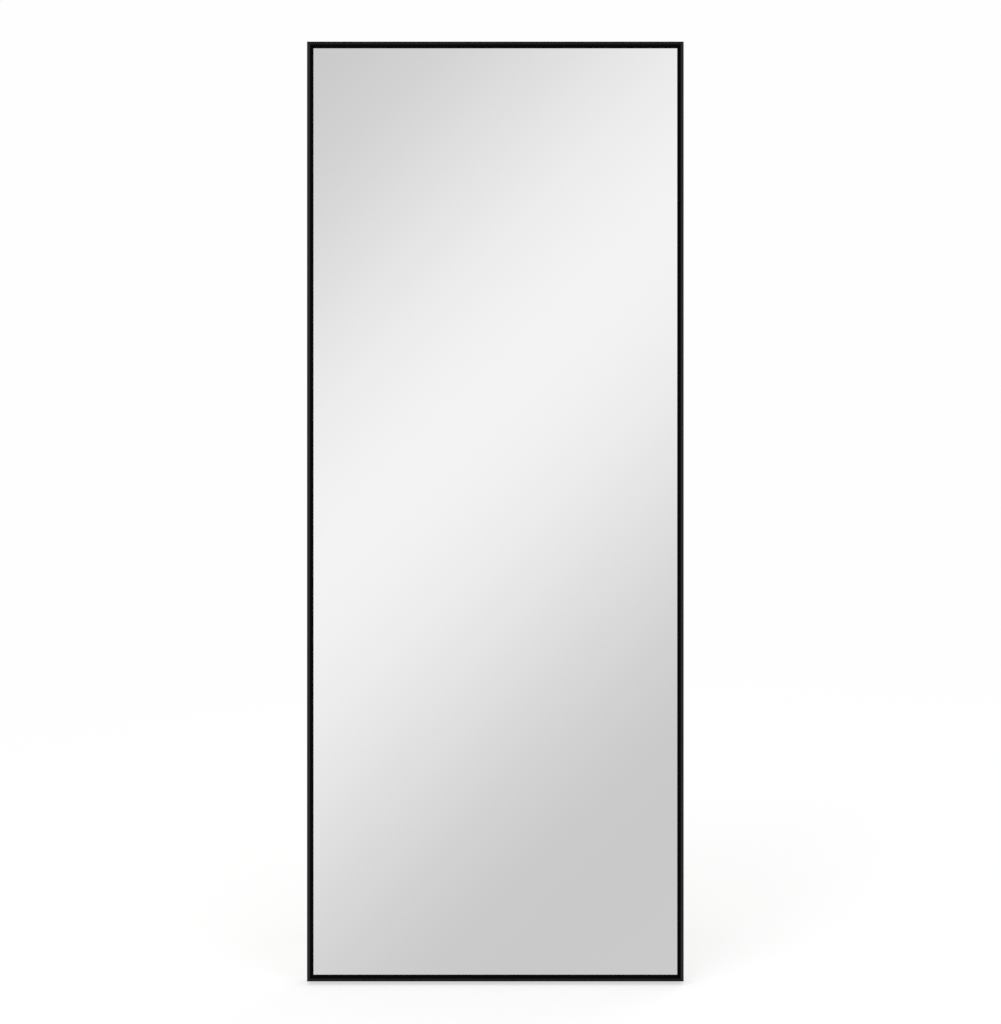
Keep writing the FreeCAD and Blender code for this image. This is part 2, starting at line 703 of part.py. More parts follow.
def bracket_screws():
    """The four screws that hold the hinge brackets to the side rails."""
    screws = []
    for side in SIDES.values():
        for z in bracket_screw_heights():
            screw = frame_screw(BRACKET_SCREW_LENGTH)
            screw.rotate(FreeCAD.Vector(0, 0, 0), FreeCAD.Vector(0, 0, 1), side * 90)
            screw.translate(FreeCAD.Vector(side * BRACKET_FACE_X, PIVOT_Y, z))
            screws.append(screw)
    return Part.makeCompound(screws)


def pivot_pin(side):
    """The rivet that the stand turns on, with a domed head inside."""
    head_x = INNER_WASHER_X - WASHER_THICKNESS
    seat = FreeCAD.Vector(side * head_x, PIVOT_Y, PIVOT_HEIGHT)
    top_x = side * (head_x - PIN_HEAD_HEIGHT)
    top = FreeCAD.Vector(top_x, PIVOT_Y, PIVOT_HEIGHT)
    head = rounded_end(rod(PIN_HEAD_RADIUS, seat, top), PIN_HEAD_ROUNDING, PIN_HEAD_RADIUS,
                       top_x, "x")
    outside = FreeCAD.Vector(side * RAIL_INNER_X, PIVOT_Y, PIVOT_HEIGHT)
    shank = rod(PIN_RADIUS, seat, outside)
    return head.fuse(shank).fuse(pin_flare(side)).removeSplitter()


def pivot_washer(side, x):
    """A nylon washer on the pin, from x towards the middle of the mirror."""
    start = FreeCAD.Vector(side * x, PIVOT_Y, PIVOT_HEIGHT)
    end = FreeCAD.Vector(side * (x - WASHER_THICKNESS), PIVOT_Y, PIVOT_HEIGHT)
    ring = rod(WASHER_RADIUS, start, end)
    return ring.cut(rod(PIN_RADIUS + WASHER_PLAY, start, end))


def hinge(side_word, side):
    """The pieces of one hinge that stay with the mirror."""
    return {
        f"hinge_bracket_{side_word}": hinge_bracket(side),
        f"pivot_pin_{side_word}": pivot_pin(side),
        f"pivot_washer_outer_{side_word}": pivot_washer(side, BRACKET_FACE_X),
        f"pivot_washer_inner_{side_word}": pivot_washer(side, INNER_WASHER_X),
    }


# --- Clip ----------------------------------------------------------------------------------------------------
def clip_tab_foot():
    """z where the clip's flat tab starts, above its upper cheek."""
    return BAR_HEIGHT + TUBE_RADIUS + CLIP_JAW_PLAY + CLIP_CHEEK


def clip_screw_spots():
    z = clip_tab_foot() + CLIP_SCREW_RISE
    return [(-CLIP_SCREW_X, z), (CLIP_SCREW_X, z)]


def clip_screw_bite():
    """How far the clip's screws enter the back board."""
    return CLIP_SCREW_LENGTH - CLIP_TAB_THICKNESS


def stand_clip():
    """An open plastic jaw on the back board that the folded stand's foot bar lies in."""
    half = CLIP_LENGTH / 2
    jaw_radius = TUBE_RADIUS + CLIP_JAW_PLAY
    low = SIGHT_WIDTH + CLIP_RAIL_GAP
    rear = FRAME_DEPTH - CLIP_REAR_INSET
    tab_foot = clip_tab_foot()
    block = prism([
        (BOARD_REAR, low, 0),
        (rear, low, CLIP_LEAD_IN),
        (rear, tab_foot, CLIP_LEAD_IN),
        (BOARD_REAR + CLIP_TAB_THICKNESS, tab_foot, 0),
        (BOARD_REAR + CLIP_TAB_THICKNESS, tab_foot + CLIP_TAB_HEIGHT, CLIP_LEAD_IN),
        (BOARD_REAR, tab_foot + CLIP_TAB_HEIGHT, 0),
    ], in_yz, -half, half)
    centre = FreeCAD.Vector(-half, PIVOT_Y, BAR_HEIGHT)
    jaw = rod(jaw_radius, centre, centre + FreeCAD.Vector(CLIP_LENGTH, 0, 0))
    mouth = box((-half, half), (PIVOT_Y, FRAME_DEPTH),
                (BAR_HEIGHT - jaw_radius, BAR_HEIGHT + jaw_radius))
    clip = block.cut(jaw.fuse(mouth))
    for x, z in clip_screw_spots():
        start = FreeCAD.Vector(x, BOARD_REAR, z)
        end = FreeCAD.Vector(x, BOARD_REAR + CLIP_TAB_THICKNESS, z)
        clip = clip.cut(rod(CLIP_SCREW_RADIUS + SCREW_HOLE_PLAY, start, end))
    return clip


def clip_screws():
    screws = []
    for x, z in clip_screw_spots():
        screw = cross_screw(CLIP_SCREW_RADIUS, CLIP_SCREW_LENGTH, CLIP_HEAD_RADIUS,
                            CLIP_HEAD_HEIGHT, CLIP_HEAD_ROUNDING, CLIP_SLOT_LENGTH,
                            CLIP_SLOT_DEPTH)
        screw.translate(FreeCAD.Vector(x, BOARD_REAR + CLIP_TAB_THICKNESS, z))
        screws.append(screw)
    return Part.makeCompound(screws)


# --- Stand, drawn folded -----------------------------------------------------------------------------------------
def tube_top():
    """Height of the open ends of the stand's tube, under the collars of its end fittings."""
    return PIVOT_HEIGHT - NECK_LENGTH - COLLAR_HEIGHT


def stand_path():
    """The centreline of the U: down one leg, along the foot bar and up the other leg."""
    bend = TUBE_BEND_RADIUS
    bend_x = LEG_X - bend
    bend_z = BAR_HEIGHT + bend
    diagonal = bend * math.sqrt(0.5)

    def point(x, z):
        return FreeCAD.Vector(x, PIVOT_Y, z)

    left_bend = Part.Arc(
        point(-LEG_X, bend_z),
        point(-bend_x - diagonal, bend_z - diagonal),
        point(-bend_x, BAR_HEIGHT),
    )
    right_bend = Part.Arc(
        point(bend_x, BAR_HEIGHT),
        point(bend_x + diagonal, bend_z - diagonal),
        point(LEG_X, bend_z),
    )
    pieces = [
        Part.LineSegment(point(-LEG_X, tube_top()), point(-LEG_X, bend_z)),
        left_bend,
        Part.LineSegment(point(-bend_x, BAR_HEIGHT), point(bend_x, BAR_HEIGHT)),
        right_bend,
        Part.LineSegment(point(LEG_X, bend_z), point(LEG_X, tube_top())),
    ]
    return Part.Wire([piece.toShape() for piece in pieces])


def stand_tube():
    """The bent steel tube."""
    start = FreeCAD.Vector(-LEG_X, PIVOT_Y, tube_top())
    down = FreeCAD.Vector(0, 0, -1)
    solids = []
    for radius in (TUBE_RADIUS, TUBE_RADIUS - TUBE_WALL):
        ring = Part.Wire([Part.makeCircle(radius, start, down)])
        solids.append(stand_path().makePipeShell([ring], True, False))
    return solids[0].cut(solids[1])


def end_fitting(side):
    """The cast fitting in the top of a leg: an eye for the pin and a heel that meets the stop."""
    swing = math.radians(OPEN_ANGLE)
    reach = STOP_DISTANCE - STOP_GAP
    x_range = (side * EYE_INNER_X, side * EYE_OUTER_X)

    def heel_point(out, up):
        """A point of the heel, measured square to the stop face and along it."""
        y = PIVOT_Y - out * math.cos(swing) + up * math.sin(swing)
        z = PIVOT_HEIGHT + out * math.sin(swing) + up * math.cos(swing)
        return y, z

    heel = prism([
        (*heel_point(reach, 0), HEEL_RADIUS / 2),
        (*heel_point(reach, HEEL_REACH), HEEL_RADIUS),
        (*heel_point(reach - HEEL_THICKNESS, HEEL_REACH), HEEL_RADIUS),
        (*heel_point(reach - HEEL_THICKNESS, 0), 0),
    ], in_yz, *x_range)
    eye = rod(EYE_RADIUS, FreeCAD.Vector(x_range[0], PIVOT_Y, PIVOT_HEIGHT),
              FreeCAD.Vector(x_range[1], PIVOT_Y, PIVOT_HEIGHT))
    half_neck = NECK_WIDTH / 2
    neck = box(x_range, (PIVOT_Y - half_neck, PIVOT_Y + half_neck),
               (PIVOT_HEIGHT - NECK_LENGTH, PIVOT_HEIGHT))
    leg_axis = FreeCAD.Vector(side * LEG_X, PIVOT_Y, 0)
    up = FreeCAD.Vector(0, 0, 1)
    collar = rod(TUBE_RADIUS, leg_axis + up * tube_top(), leg_axis + up * (tube_top() + COLLAR_HEIGHT))
    spigot_radius = TUBE_RADIUS - TUBE_WALL - SPIGOT_PLAY
    spigot = rod(spigot_radius, leg_axis + up * (tube_top() - SPIGOT_LENGTH),
                 leg_axis + up * tube_top())
    fitting = eye.fuse([heel, neck, collar, spigot])
    hole = rod(PIN_RADIUS + PIN_PLAY, FreeCAD.Vector(x_range[0], PIVOT_Y, PIVOT_HEIGHT),
               FreeCAD.Vector(x_range[1], PIVOT_Y, PIVOT_HEIGHT))
    return fitting.cut(hole).removeSplitter()


def foot_sleeve(side):
    """A ribbed rubber sleeve on the foot bar."""
    start_x = side * SLEEVE_X - SLEEVE_LENGTH / 2

    def ring(outer, inner, from_x, width):
        start = FreeCAD.Vector(from_x, PIVOT_Y, BAR_HEIGHT)
        end = FreeCAD.Vector(from_x + width, PIVOT_Y, BAR_HEIGHT)
        return rod(outer, start, end).cut(rod(inner, start, end))

    sleeve = ring(SLEEVE_RADIUS, TUBE_RADIUS + SLEEVE_PLAY, start_x, SLEEVE_LENGTH)
    pitch = SLEEVE_LENGTH / (SLEEVE_GROOVES + 1)
    for i in range(SLEEVE_GROOVES):
        groove_x = start_x + pitch * (i + 1) - SLEEVE_GROOVE_WIDTH / 2
        groove = ring(SLEEVE_RADIUS + OVERRUN, SLEEVE_RADIUS - SLEEVE_GROOVE_DEPTH, groove_x,
                      SLEEVE_GROOVE_WIDTH)
        sleeve = sleeve.cut(groove)
    return sleeve


def stand():
    """The pieces that swing, in the folded position."""
    made = {"stand_tube": stand_tube()}
    for word, side in SIDES.items():
        made[f"stand_end_{word}"] = end_fitting(side)
        made[f"stand_foot_{word}"] = foot_sleeve(side)
    return made


# --- Everything ------------------------------------------------------------------------------------------------------
def mirror_pieces():
    """Every piece that stays with the mirror, upright."""
    made = {}
    made.update(rails())
    made.update(corner_keys())
    made["corner_screws"] = corner_screws()
    made.update(panel())
    made.update(wall_buffers())
    for word, side in SIDES.items():
        made[f"setting_block_{word}"] = setting_block(side)
        made[f"keyhole_plate_{word}"] = keyhole_plate(side)
        made[f"floor_foot_{word}"] = floor_foot(side)
        made.update(hinge(word, side))
    made["bracket_screws"] = bracket_screws()
    made["stand_clip"] = stand_clip()
    made["clip_screws"] = clip_screws()
    return made


def all_pieces():
    """Every piece in its place on the floor, with the stand open."""
    made = {name: lean_back(shape) for name, shape in mirror_pieces().items()}
    for name, shape in stand().items():
        made[name] = lean_back(swing_open(shape))
    return made


def main():
    os.makedirs("parts", exist_ok=True)
    for name, shape in all_pieces().items():
        shape.exportStep(f"parts/{name}.step")
    print(f"leans back {math.degrees(LEAN):.2f} degrees")


if __name__ == "__main__":
    main()
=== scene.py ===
# %% [markdown]
# # A leaning floor mirror
# The imported model gives every rigid piece in its right place, in metres, as it stands
# on the floor. This lesson keeps the pieces whose shape is right, gives each a real
# finish, and models anew the ones that a CAD solid shows too plainly: rubber, foam,
# screws and the bent tube. Moulded, cast and punched pieces get copies with softer
# edges.

# %% Load the imported frame
import json
import math

import bpy
from mathutils import Matrix, Vector


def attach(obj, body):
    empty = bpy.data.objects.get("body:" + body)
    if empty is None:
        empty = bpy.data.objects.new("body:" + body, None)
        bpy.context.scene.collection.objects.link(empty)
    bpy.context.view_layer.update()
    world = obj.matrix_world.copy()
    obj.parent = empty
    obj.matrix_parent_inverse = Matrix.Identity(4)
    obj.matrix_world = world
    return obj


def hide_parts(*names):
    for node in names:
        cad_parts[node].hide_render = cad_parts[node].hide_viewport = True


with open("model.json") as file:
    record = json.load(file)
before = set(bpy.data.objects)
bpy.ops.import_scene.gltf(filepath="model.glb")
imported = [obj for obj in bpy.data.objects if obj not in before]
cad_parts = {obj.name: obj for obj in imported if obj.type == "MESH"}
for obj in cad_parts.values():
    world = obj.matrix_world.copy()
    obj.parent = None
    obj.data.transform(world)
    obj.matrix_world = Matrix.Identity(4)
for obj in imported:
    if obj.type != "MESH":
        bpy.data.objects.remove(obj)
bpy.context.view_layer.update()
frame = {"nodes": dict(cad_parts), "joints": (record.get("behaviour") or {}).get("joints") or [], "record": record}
nodes = frame["nodes"]

# %% [markdown]
# ## The mirror's own frame
# The mirror leans, so its pieces are easier to model upright and to lean afterwards.
# In its own frame x runs to the right, y backwards from the front of the rim and z up
# from its bottom edge. The tilt is read from the axis of a hanging hole, and the origin
# from the hinge, which is 22.3 mm back and 1100 mm up. The stand is modelled folded and
# swung open about the hinge, to where it stops. Sizes here are in millimetres.

# %% Two places: leaning, and leaning with the stand open
MM = 0.001
WIDTH, HEIGHT, DEPTH = 602.0, 1502.0, 30.0
HALF = WIDTH / 2
PIVOT_BACK, PIVOT_UP = 22.3, 1100.0
PIVOT = Vector((0, PIVOT_BACK, PIVOT_UP)) * MM
hang_axis = frame["record"]["mounts"][0]["axis"]
hinge = frame["joints"][0]
lean = math.atan2(-hang_axis[2], hang_axis[1])
tilt = Matrix.Rotation(-lean, 4, "X")
LEANING = Matrix.Translation(Vector(hinge["pos_m"]) - tilt @ PIVOT) @ tilt
swing = Matrix.Rotation(math.radians(hinge["range_deg"][1]), 4, "X")
OPENED = LEANING @ Matrix.Translation(PIVOT) @ swing @ Matrix.Translation(-PIVOT)
print("lean", round(math.degrees(lean), 2), "degrees, stand open", hinge["range_deg"][1])

# %% [markdown]
# ## The camera
# The photograph shows the mirror square on, with no sides, so the camera looks along
# the normal of the glass, a little down, from five metres. The lens fits the frame's
# width into 376.7 of the picture's 1001 pixels, which makes a pixel 1.598 mm. The frame
# sits a few pixels left of the middle, so the camera moves that far instead of turning,
# because turning would show the frame's edges askew.

# %% Camera square to the glass
PIXEL = 1.598 * MM
DISTANCE = 5.0
SENSOR = 36.0
PICTURE_HEIGHT = 1024
RIGHT_BY, DOWN_BY = 5.15 * PIXEL, 0.5 * PIXEL
camera_data = bpy.data.cameras.new("photo_camera")
camera_data.sensor_width = SENSOR
camera_data.lens = SENSOR * DISTANCE / (PICTURE_HEIGHT * PIXEL)
camera = bpy.data.objects.new("photo_camera", camera_data)
bpy.context.collection.objects.link(camera)
camera.location = LEANING @ Vector((RIGHT_BY, -DISTANCE, HEIGHT / 2 * MM - DOWN_BY))
camera.rotation_euler = (math.pi / 2 - lean, 0, 0)
bpy.context.scene.camera = camera
bpy.context.scene.view_settings.view_transform = "Standard"
print("lens", round(camera_data.lens, 1), "mm, at", [round(v, 3) for v in camera.location])

# %% [markdown]
# ## Working by hand, in code
# An operator acts on whatever is selected. Left to chance that breaks a script, so each
# step starts with nothing selected and then selects what it needs. These helpers hold
# that habit. Each ends in object mode or in edit mode, ready for the next operator.

# %% Select nothing, one piece, or all of its mesh
def nothing():
    """Object mode, with nothing selected."""
    if bpy.context.object and bpy.context.object.mode != "OBJECT":
        bpy.ops.object.mode_set(mode="OBJECT")
    bpy.ops.object.select_all(action="DESELECT")


def alone(piece):
    """Object mode, with only this piece selected and active."""
    nothing()
    piece.select_set(True)
    bpy.context.view_layer.objects.active = piece


def whole(piece):
    """Edit mode, with all of the piece selected."""
    alone(piece)
    bpy.context.tool_settings.mesh_select_mode = (True, False, False)
    bpy.ops.object.mode_set(mode="EDIT")
    bpy.ops.mesh.select_all(action="SELECT")


# %% [markdown]
# ## A finished piece
# A finished piece has its faces turned outwards and its curved faces smoothed. Then it
# is leaned with the mirror, rides on its body and takes the CAD node's place. It could
# be placed by its object's matrix, but its place goes into the mesh instead, because
# the export and the patterns of the finishes expect every object at the origin. Edges
# that don't have two faces are counted: a closed shell has none.

# %% Finish a piece
def open_edges(piece):
    """How many edges don't have exactly two faces."""
    uses = [0] * len(piece.data.edges)
    for loop in piece.data.loops:
        uses[loop.edge_index] += 1
    return sum(use != 2 for use in uses)


def finish_piece(piece, place, body, slot, node, angle=35):
    """Smooth it, put it in its place, and say what it rides on and stands for."""
    whole(piece)
    bpy.ops.mesh.normals_make_consistent(inside=False)
    alone(piece)
    bpy.ops.object.shade_smooth_by_angle(angle=math.radians(angle))
    piece.matrix_world = place @ piece.matrix_world
    alone(piece)
    bpy.ops.object.transform_apply(location=True, rotation=True, scale=True)
    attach(piece, body)
    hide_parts(node)
    modelled.setdefault(slot, []).append(piece)
    print(piece.name, len(piece.data.polygons), "faces, open edges", open_edges(piece))


modelled = {}
QUARTER = math.pi / 2
SIDES = (("left", -1), ("right", 1))

# %% [markdown]
# ## Solids to start from
# Most pieces start as a cylinder or a box, as turned or cut stock does in a workshop. A
# primitive is added at its size and place, and its size goes into its mesh at once, so
# that a bevel on it has the same width in every direction.

# %% Start with a cylinder or a box
def named(name):
    """The primitive just added, under its name, with its size in its mesh."""
    piece = bpy.context.object
    piece.name = piece.data.name = name
    alone(piece)
    bpy.ops.object.transform_apply(location=True, rotation=True, scale=True)
    return piece


def block(name, low, high):
    """A box between two corners."""
    low, high = Vector(low) * MM, Vector(high) * MM
    nothing()
    bpy.ops.mesh.primitive_cube_add(size=1, location=(low + high) / 2)
    bpy.context.object.scale = high - low
    return named(name)


def rod(name, radius, low, high, x=0.0, y=0.0):
    """An upright cylinder from low to high."""
    nothing()
    bpy.ops.mesh.primitive_cylinder_add(
        vertices=64, radius=radius * MM, depth=(high - low) * MM,
        location=Vector((x, y, (low + high) / 2)) * MM)
    return named(name)


# %% [markdown]
# ## Picking and pushing
# By hand a face is clicked. In code it is found by its place and direction, which stays
# true when an earlier step changes the order of the faces. What is picked is then often
# extruded, which a short helper makes readable.

# %% Pick by place, and push
def pick(piece, faces=None, edges=None):
    """Edit mode, with only the faces or edges that pass a test on their place."""
    alone(piece)
    mesh = piece.data
    for group in (mesh.vertices, mesh.edges, mesh.polygons):
        group.foreach_set("select", [False] * len(group))
    bpy.context.tool_settings.mesh_select_mode = (False, edges is not None, faces is not None)
    for face in mesh.polygons if faces else []:
        face.select = faces(face.center, face.normal)
    for edge in mesh.edges if edges else []:
        edge.select = edges(*(mesh.vertices[end].co for end in edge.vertices))
    bpy.ops.object.mode_set(mode="EDIT")


def push(*way):
    """Extrude what is selected by x, y and z in millimetres."""
    bpy.ops.mesh.extrude_region_move(TRANSFORM_OT_translate={"value": [step * MM for step in way]})


# %% [markdown]
# ## Adding and cutting
# A hole with sloping walls could be drawn face by face. A Boolean modifier with a second
# solid is surer, because it keeps the shell closed. The exact solver is slower than the
# fast one, but it copes with walls that meet flush.

# %% Combine two solids
def combine(piece, other, operation):
    """Add the other solid to the piece, or cut it away."""
    alone(piece)
    modifier = piece.modifiers.new("Combine", "BOOLEAN")
    modifier.operation = operation
    modifier.solver = "EXACT"
    modifier.object = other
    bpy.ops.object.modifier_apply(modifier=modifier.name)
    bpy.data.objects.remove(other)


# %% [markdown]
# ## The screws
# All the screws are zinc-plated pan heads with a cross recess. One size holds the
# corner keys and the brackets, a smaller one the clip. Each size is modelled once: a
# cylinder whose rim is bevelled into a dome, a shank extruded from its underside, and a
# cross with sloping walls cut out of the top by two crossed wings. A thread isn't seen,
# because the shank is always inside what the screw holds.

# %% Model one screw
TIP, TIP_TAPER = 1.2, 0.45
CROSS_WIDTH, CROSS_TAPER = 0.9, (0.7, 0.55)


def screw(name, head, height, rounding, shank, length, cross, depth):
    """A pan head screw on the origin, its head upwards; head and shank are radii."""
    piece = rod(name, head, 0, height)
    pick(piece, edges=lambda a, b: min(a.z, b.z) > (height - 0.01) * MM)
    bpy.ops.mesh.bevel(offset=rounding * MM, segments=8, profile=0.5)
    pick(piece, faces=lambda middle, normal: normal.z < -0.9)
    bpy.ops.mesh.inset(thickness=(head - shank) * MM)
    push(0, 0, TIP - length)
    push(0, 0, -TIP)
    bpy.ops.transform.resize(value=(TIP_TAPER, TIP_TAPER, 1))
    for turn in (0, QUARTER):
        wing = block("wing", (-CROSS_WIDTH / 2, -cross / 2, height - depth),
                     (CROSS_WIDTH / 2, cross / 2, height + 1))
        pick(wing, faces=lambda middle, normal: normal.z < -0.9)
        bpy.ops.transform.resize(value=(*CROSS_TAPER, 1))
        alone(wing)
        wing.rotation_euler.z = turn
        combine(piece, wing, "DIFFERENCE")
    return piece


big_screw = screw("big_screw", head=3.8, height=2.4, rounding=1.3, shank=2.0, length=8.6,
                  cross=4.4, depth=1.3)
small_screw = screw("small_screw", head=2.9, height=1.8, rounding=1.0, shank=1.5, length=5.4,
                    cross=3.4, depth=0.9)
for model in (big_screw, small_screw):
    print(model.name, [round(size / MM, 2) for size in model.dimensions], "mm")

# %% [markdown]
# ## Driving the screws
# Nobody drives screws so that their crosses line up, so each copy is turned by its own
# angle. Every copy has its own mesh and sits with its head on the surface it holds: the
# rails at the bottom, the keyhole plates at the top, the brackets and the clip.

# %% Drive copies of the screws
FROM_BEHIND = Matrix.Rotation(-QUARTER, 4, "X")
RAIL_MIDDLE, KEY_REACH = 5.05, 34.0
KEY_SCREWS = (
    ("rail", HALF - KEY_REACH, RAIL_MIDDLE, 1), ("side", HALF - RAIL_MIDDLE, KEY_REACH, 2))
PLATE = 1.5
BRACKET_FACE = 288.9
BRACKET_HOLES = (("low", 26.0), ("high", 43.0))
CLIP_HOLE = Vector((7.5, 17.4, 35.1))


def drive(model, name, seat, way, turn, node):
    """A copy of the screw, seated on a point and turned about its own axis."""
    copy = bpy.data.objects.new(name, model.data.copy())
    bpy.context.collection.objects.link(copy)
    copy.matrix_world = Matrix.Translation(Vector(seat) * MM) @ way @ Matrix.Rotation(turn, 4, "Z")
    finish_piece(copy, LEANING, "mirror", "zinc_screw", node, angle=30)


for side, across in SIDES:
    for row, edge, up, seat in (("bottom", 0, 1, DEPTH), ("top", HEIGHT, -1, DEPTH + PLATE)):
        turn = 0.4 + 1.1 * across + 0.7 * up
        for leg, x, z, times in KEY_SCREWS:
            drive(big_screw, f"corner_screw_{row}_{side}_{leg}", (across * x, seat, edge + up * z),
                  FROM_BEHIND, turn * times, "corner_screws")
    inward = Matrix.Rotation(-across * QUARTER, 4, "Y")
    for step, above in BRACKET_HOLES:
        height = PIVOT_UP + above
        drive(big_screw, f"bracket_screw_{side}_{step}",
              (across * BRACKET_FACE, PIVOT_BACK, height), inward, height * 0.3, "bracket_screws")
    drive(small_screw, f"clip_screw_{side}", CLIP_HOLE * Vector((across, 1, 1)),
          FROM_BEHIND, 0.5 + across * 0.4, "clip_screws")
for model in (big_screw, small_screw):
    bpy.data.objects.remove(model)

# %% [markdown]
# ## The bent tube
# The stand is one steel tube, 12 mm across, bent twice round a former. The CAD solid
# has flat facets along its bends, so the tube is made anew the way the bender works:
# a circle is drawn down the left leg, swept through a quarter turn, drawn along the
# foot bar, swept again and drawn up the right leg. Solidify gives it its wall.

# %% Draw the tube along its runs and bends
TUBE_RADIUS, TUBE_WALL = 6.0, 1.2
LEG_X, TUBE_TOP, BAR_HEIGHT, BEND = 283.8, 1082.0, 18.6, 40.0
nothing()
bpy.ops.mesh.primitive_circle_add(
    vertices=48, radius=TUBE_RADIUS * MM, location=Vector((-LEG_X, PIVOT_BACK, TUBE_TOP)) * MM)
tube = named("stand_tube_bent")
whole(tube)
leg_run = TUBE_TOP - BAR_HEIGHT - BEND
bar_run = 2 * (LEG_X - BEND)
for across, run in ((-1, (0, 0, -leg_run)), (1, (bar_run, 0, 0))):
    former = Vector((across * (LEG_X - BEND), PIVOT_BACK, BAR_HEIGHT + BEND)) * MM
    push(*run)
    bpy.ops.mesh.spin(steps=28, angle=QUARTER, center=former, axis=(0, 1, 0))
push(0, 0, leg_run)
whole(tube)
bpy.ops.mesh.remove_doubles(threshold=1e-6)
bpy.ops.mesh.normals_make_consistent(inside=False)
alone(tube)
wall = tube.modifiers.new("Wall", "SOLIDIFY")
wall.thickness = TUBE_WALL * MM
bpy.ops.object.modifier_apply(modifier=wall.name)
finish_piece(tube, OPENED, "stand", "stand_black", "stand_tube")

# %% [markdown]
# ## The rubber sleeves on the foot bar
# Each sleeve is moulded in black rubber with five rounded grooves that grip the floor.
# Spinning a profile would do, but drawing ring by ring keeps the numbers readable: a
# circle is extruded along the bar and scaled at each step, then led back through the
# bore until it meets its start.

# %% Turn a sleeve ring by ring
def turned(name, rings):
    """A closed, ring-shaped piece round the x axis, from pairs of x and radius."""
    x, radius = rings[0]
    nothing()
    bpy.ops.mesh.primitive_circle_add(
        vertices=64, radius=radius * MM, rotation=(0, QUARTER, 0), location=(x * MM, 0, 0))
    piece = named(name)
    whole(piece)
    for next_x, next_radius in [*rings[1:], rings[0]]:
        push(next_x - x, 0, 0)
        scale = next_radius / radius
        bpy.ops.transform.resize(value=(1, scale, scale), center_override=(next_x * MM, 0, 0))
        x, radius = next_x, next_radius
    whole(piece)
    bpy.ops.mesh.remove_doubles(threshold=1e-6)
    return piece


BORE = 6.05
END = ((-23, BORE), (-23, 6.7), (-22.9, 7.1), (-22.6, 7.4), (-22.1, 7.5))
HALF_GROOVE = ((0.4, 6.93), (0.7, 7.1), (0.88, 7.42), (1, 7.5))
GROOVE = (*[(-x, radius) for x, radius in reversed(HALF_GROOVE)], (0, 6.9), *HALF_GROOVE)
PITCH = 7.7
SLEEVE_X = 185.0
grooves = [(PITCH * number + x, radius) for number in range(-2, 3) for x, radius in GROOVE]
other_end = [(-x, radius) for x, radius in reversed(END)]
for side, across in SIDES:
    sleeve = turned(f"foot_sleeve_{side}", [*END, *grooves, *other_end, (0, BORE)])
    sleeve.location = Vector((across * SLEEVE_X, PIVOT_BACK, BAR_HEIGHT)) * MM
    finish_piece(sleeve, OPENED, "stand", "black_rubber", f"stand_foot_{side}", angle=50)

# %% [markdown]
# ## The floor feet
# Two rubber strips are pushed into the bottom rail by barbed stems. Each starts as a
# box whose front edge is drawn down, so that the sole is cut to the lean and lies flat
# on the floor; that leaves fewer faces than a Boolean cut would. Its ends are rounded,
# and pockets are moulded into the sole for grip. The barbs are widened rods.

# %% Model a foot
FOOT_X, FOOT_MIDDLE, HALF_LENGTH, HALF_WIDTH, THIN = 215.0, 24.5, 26.0, 4.0, 1.5
SOLE_DROP, CORNER, SOLE_EDGE = 1.419, 3.0, 0.35
POCKET, POCKETS, POCKET_DEPTH, RIB = 9.0, 5, 0.7, 1.1
STEM_X, STEM_RADIUS, STEM, BARB, BARB_SPREAD, BARB_TIP = 16.0, 2.5, 1.5, 3.0, 1.3, 0.5
for side, across in SIDES:
    centre = across * FOOT_X
    foot = block(f"floor_pad_{side}", (centre - HALF_LENGTH, FOOT_MIDDLE - HALF_WIDTH, -THIN),
                 (centre + HALF_LENGTH, FOOT_MIDDLE + HALF_WIDTH, 0))
    pick(foot, edges=lambda a, b: max(a.z, b.z) < -1 * MM and max(a.y, b.y) < 21 * MM)
    bpy.ops.transform.translate(value=(0, 0, -SOLE_DROP * MM))
    pick(foot, edges=lambda a, b: (a - b).xy.length < 0.1 * MM)
    bpy.ops.mesh.bevel(offset=CORNER * MM, segments=8, profile=0.5)
    pick(foot, faces=lambda middle, normal: normal.z < -0.9)
    bpy.ops.mesh.bevel(offset=SOLE_EDGE * MM, segments=3, profile=0.5)
    for number in range(POCKETS + 1):
        whole(foot)
        cut = centre + (number - POCKETS / 2) * POCKET
        bpy.ops.mesh.bisect(plane_co=(cut * MM, 0, 0), plane_no=(1, 0, 0))
    pick(foot, faces=lambda middle, normal: normal.z < -0.95
         and abs(middle.x / MM - centre) < POCKETS / 2 * POCKET
         and abs(middle.y / MM - FOOT_MIDDLE) < 2)
    bpy.ops.mesh.inset(thickness=RIB * MM, use_individual=True)
    push(0, 0, POCKET_DEPTH)
    for along in (-STEM_X, STEM_X):
        stem = rod("stem", STEM_RADIUS, -0.2, STEM + BARB, centre + along, FOOT_MIDDLE)
        whole(stem)
        bpy.ops.mesh.bisect(plane_co=(0, 0, STEM * MM), plane_no=(0, 0, 1))
        pick(stem, edges=lambda a, b: max(abs(end.z / MM - STEM) for end in (a, b)) < 0.01)
        bpy.ops.transform.resize(value=(BARB_SPREAD, BARB_SPREAD, 1))
        pick(stem, faces=lambda middle, normal: normal.z > 0.9)
        bpy.ops.transform.resize(value=(BARB_TIP, BARB_TIP, 1))
        combine(foot, stem, "UNION")
    finish_piece(foot, LEANING, "mirror", "black_rubber", f"floor_foot_{side}")
    print("its lowest point", round(min(v.co.z for v in foot.data.vertices) / MM, 3), "mm")

# %% [markdown]
# ## The wall buffers
# Four rubber buttons keep the frame off a wall. They could be drawn in rings like the
# sleeves, but a cylinder with a bevelled rim gives the same round shape in two steps.
# The face is inset and drawn in a little, as a moulding pin leaves it.

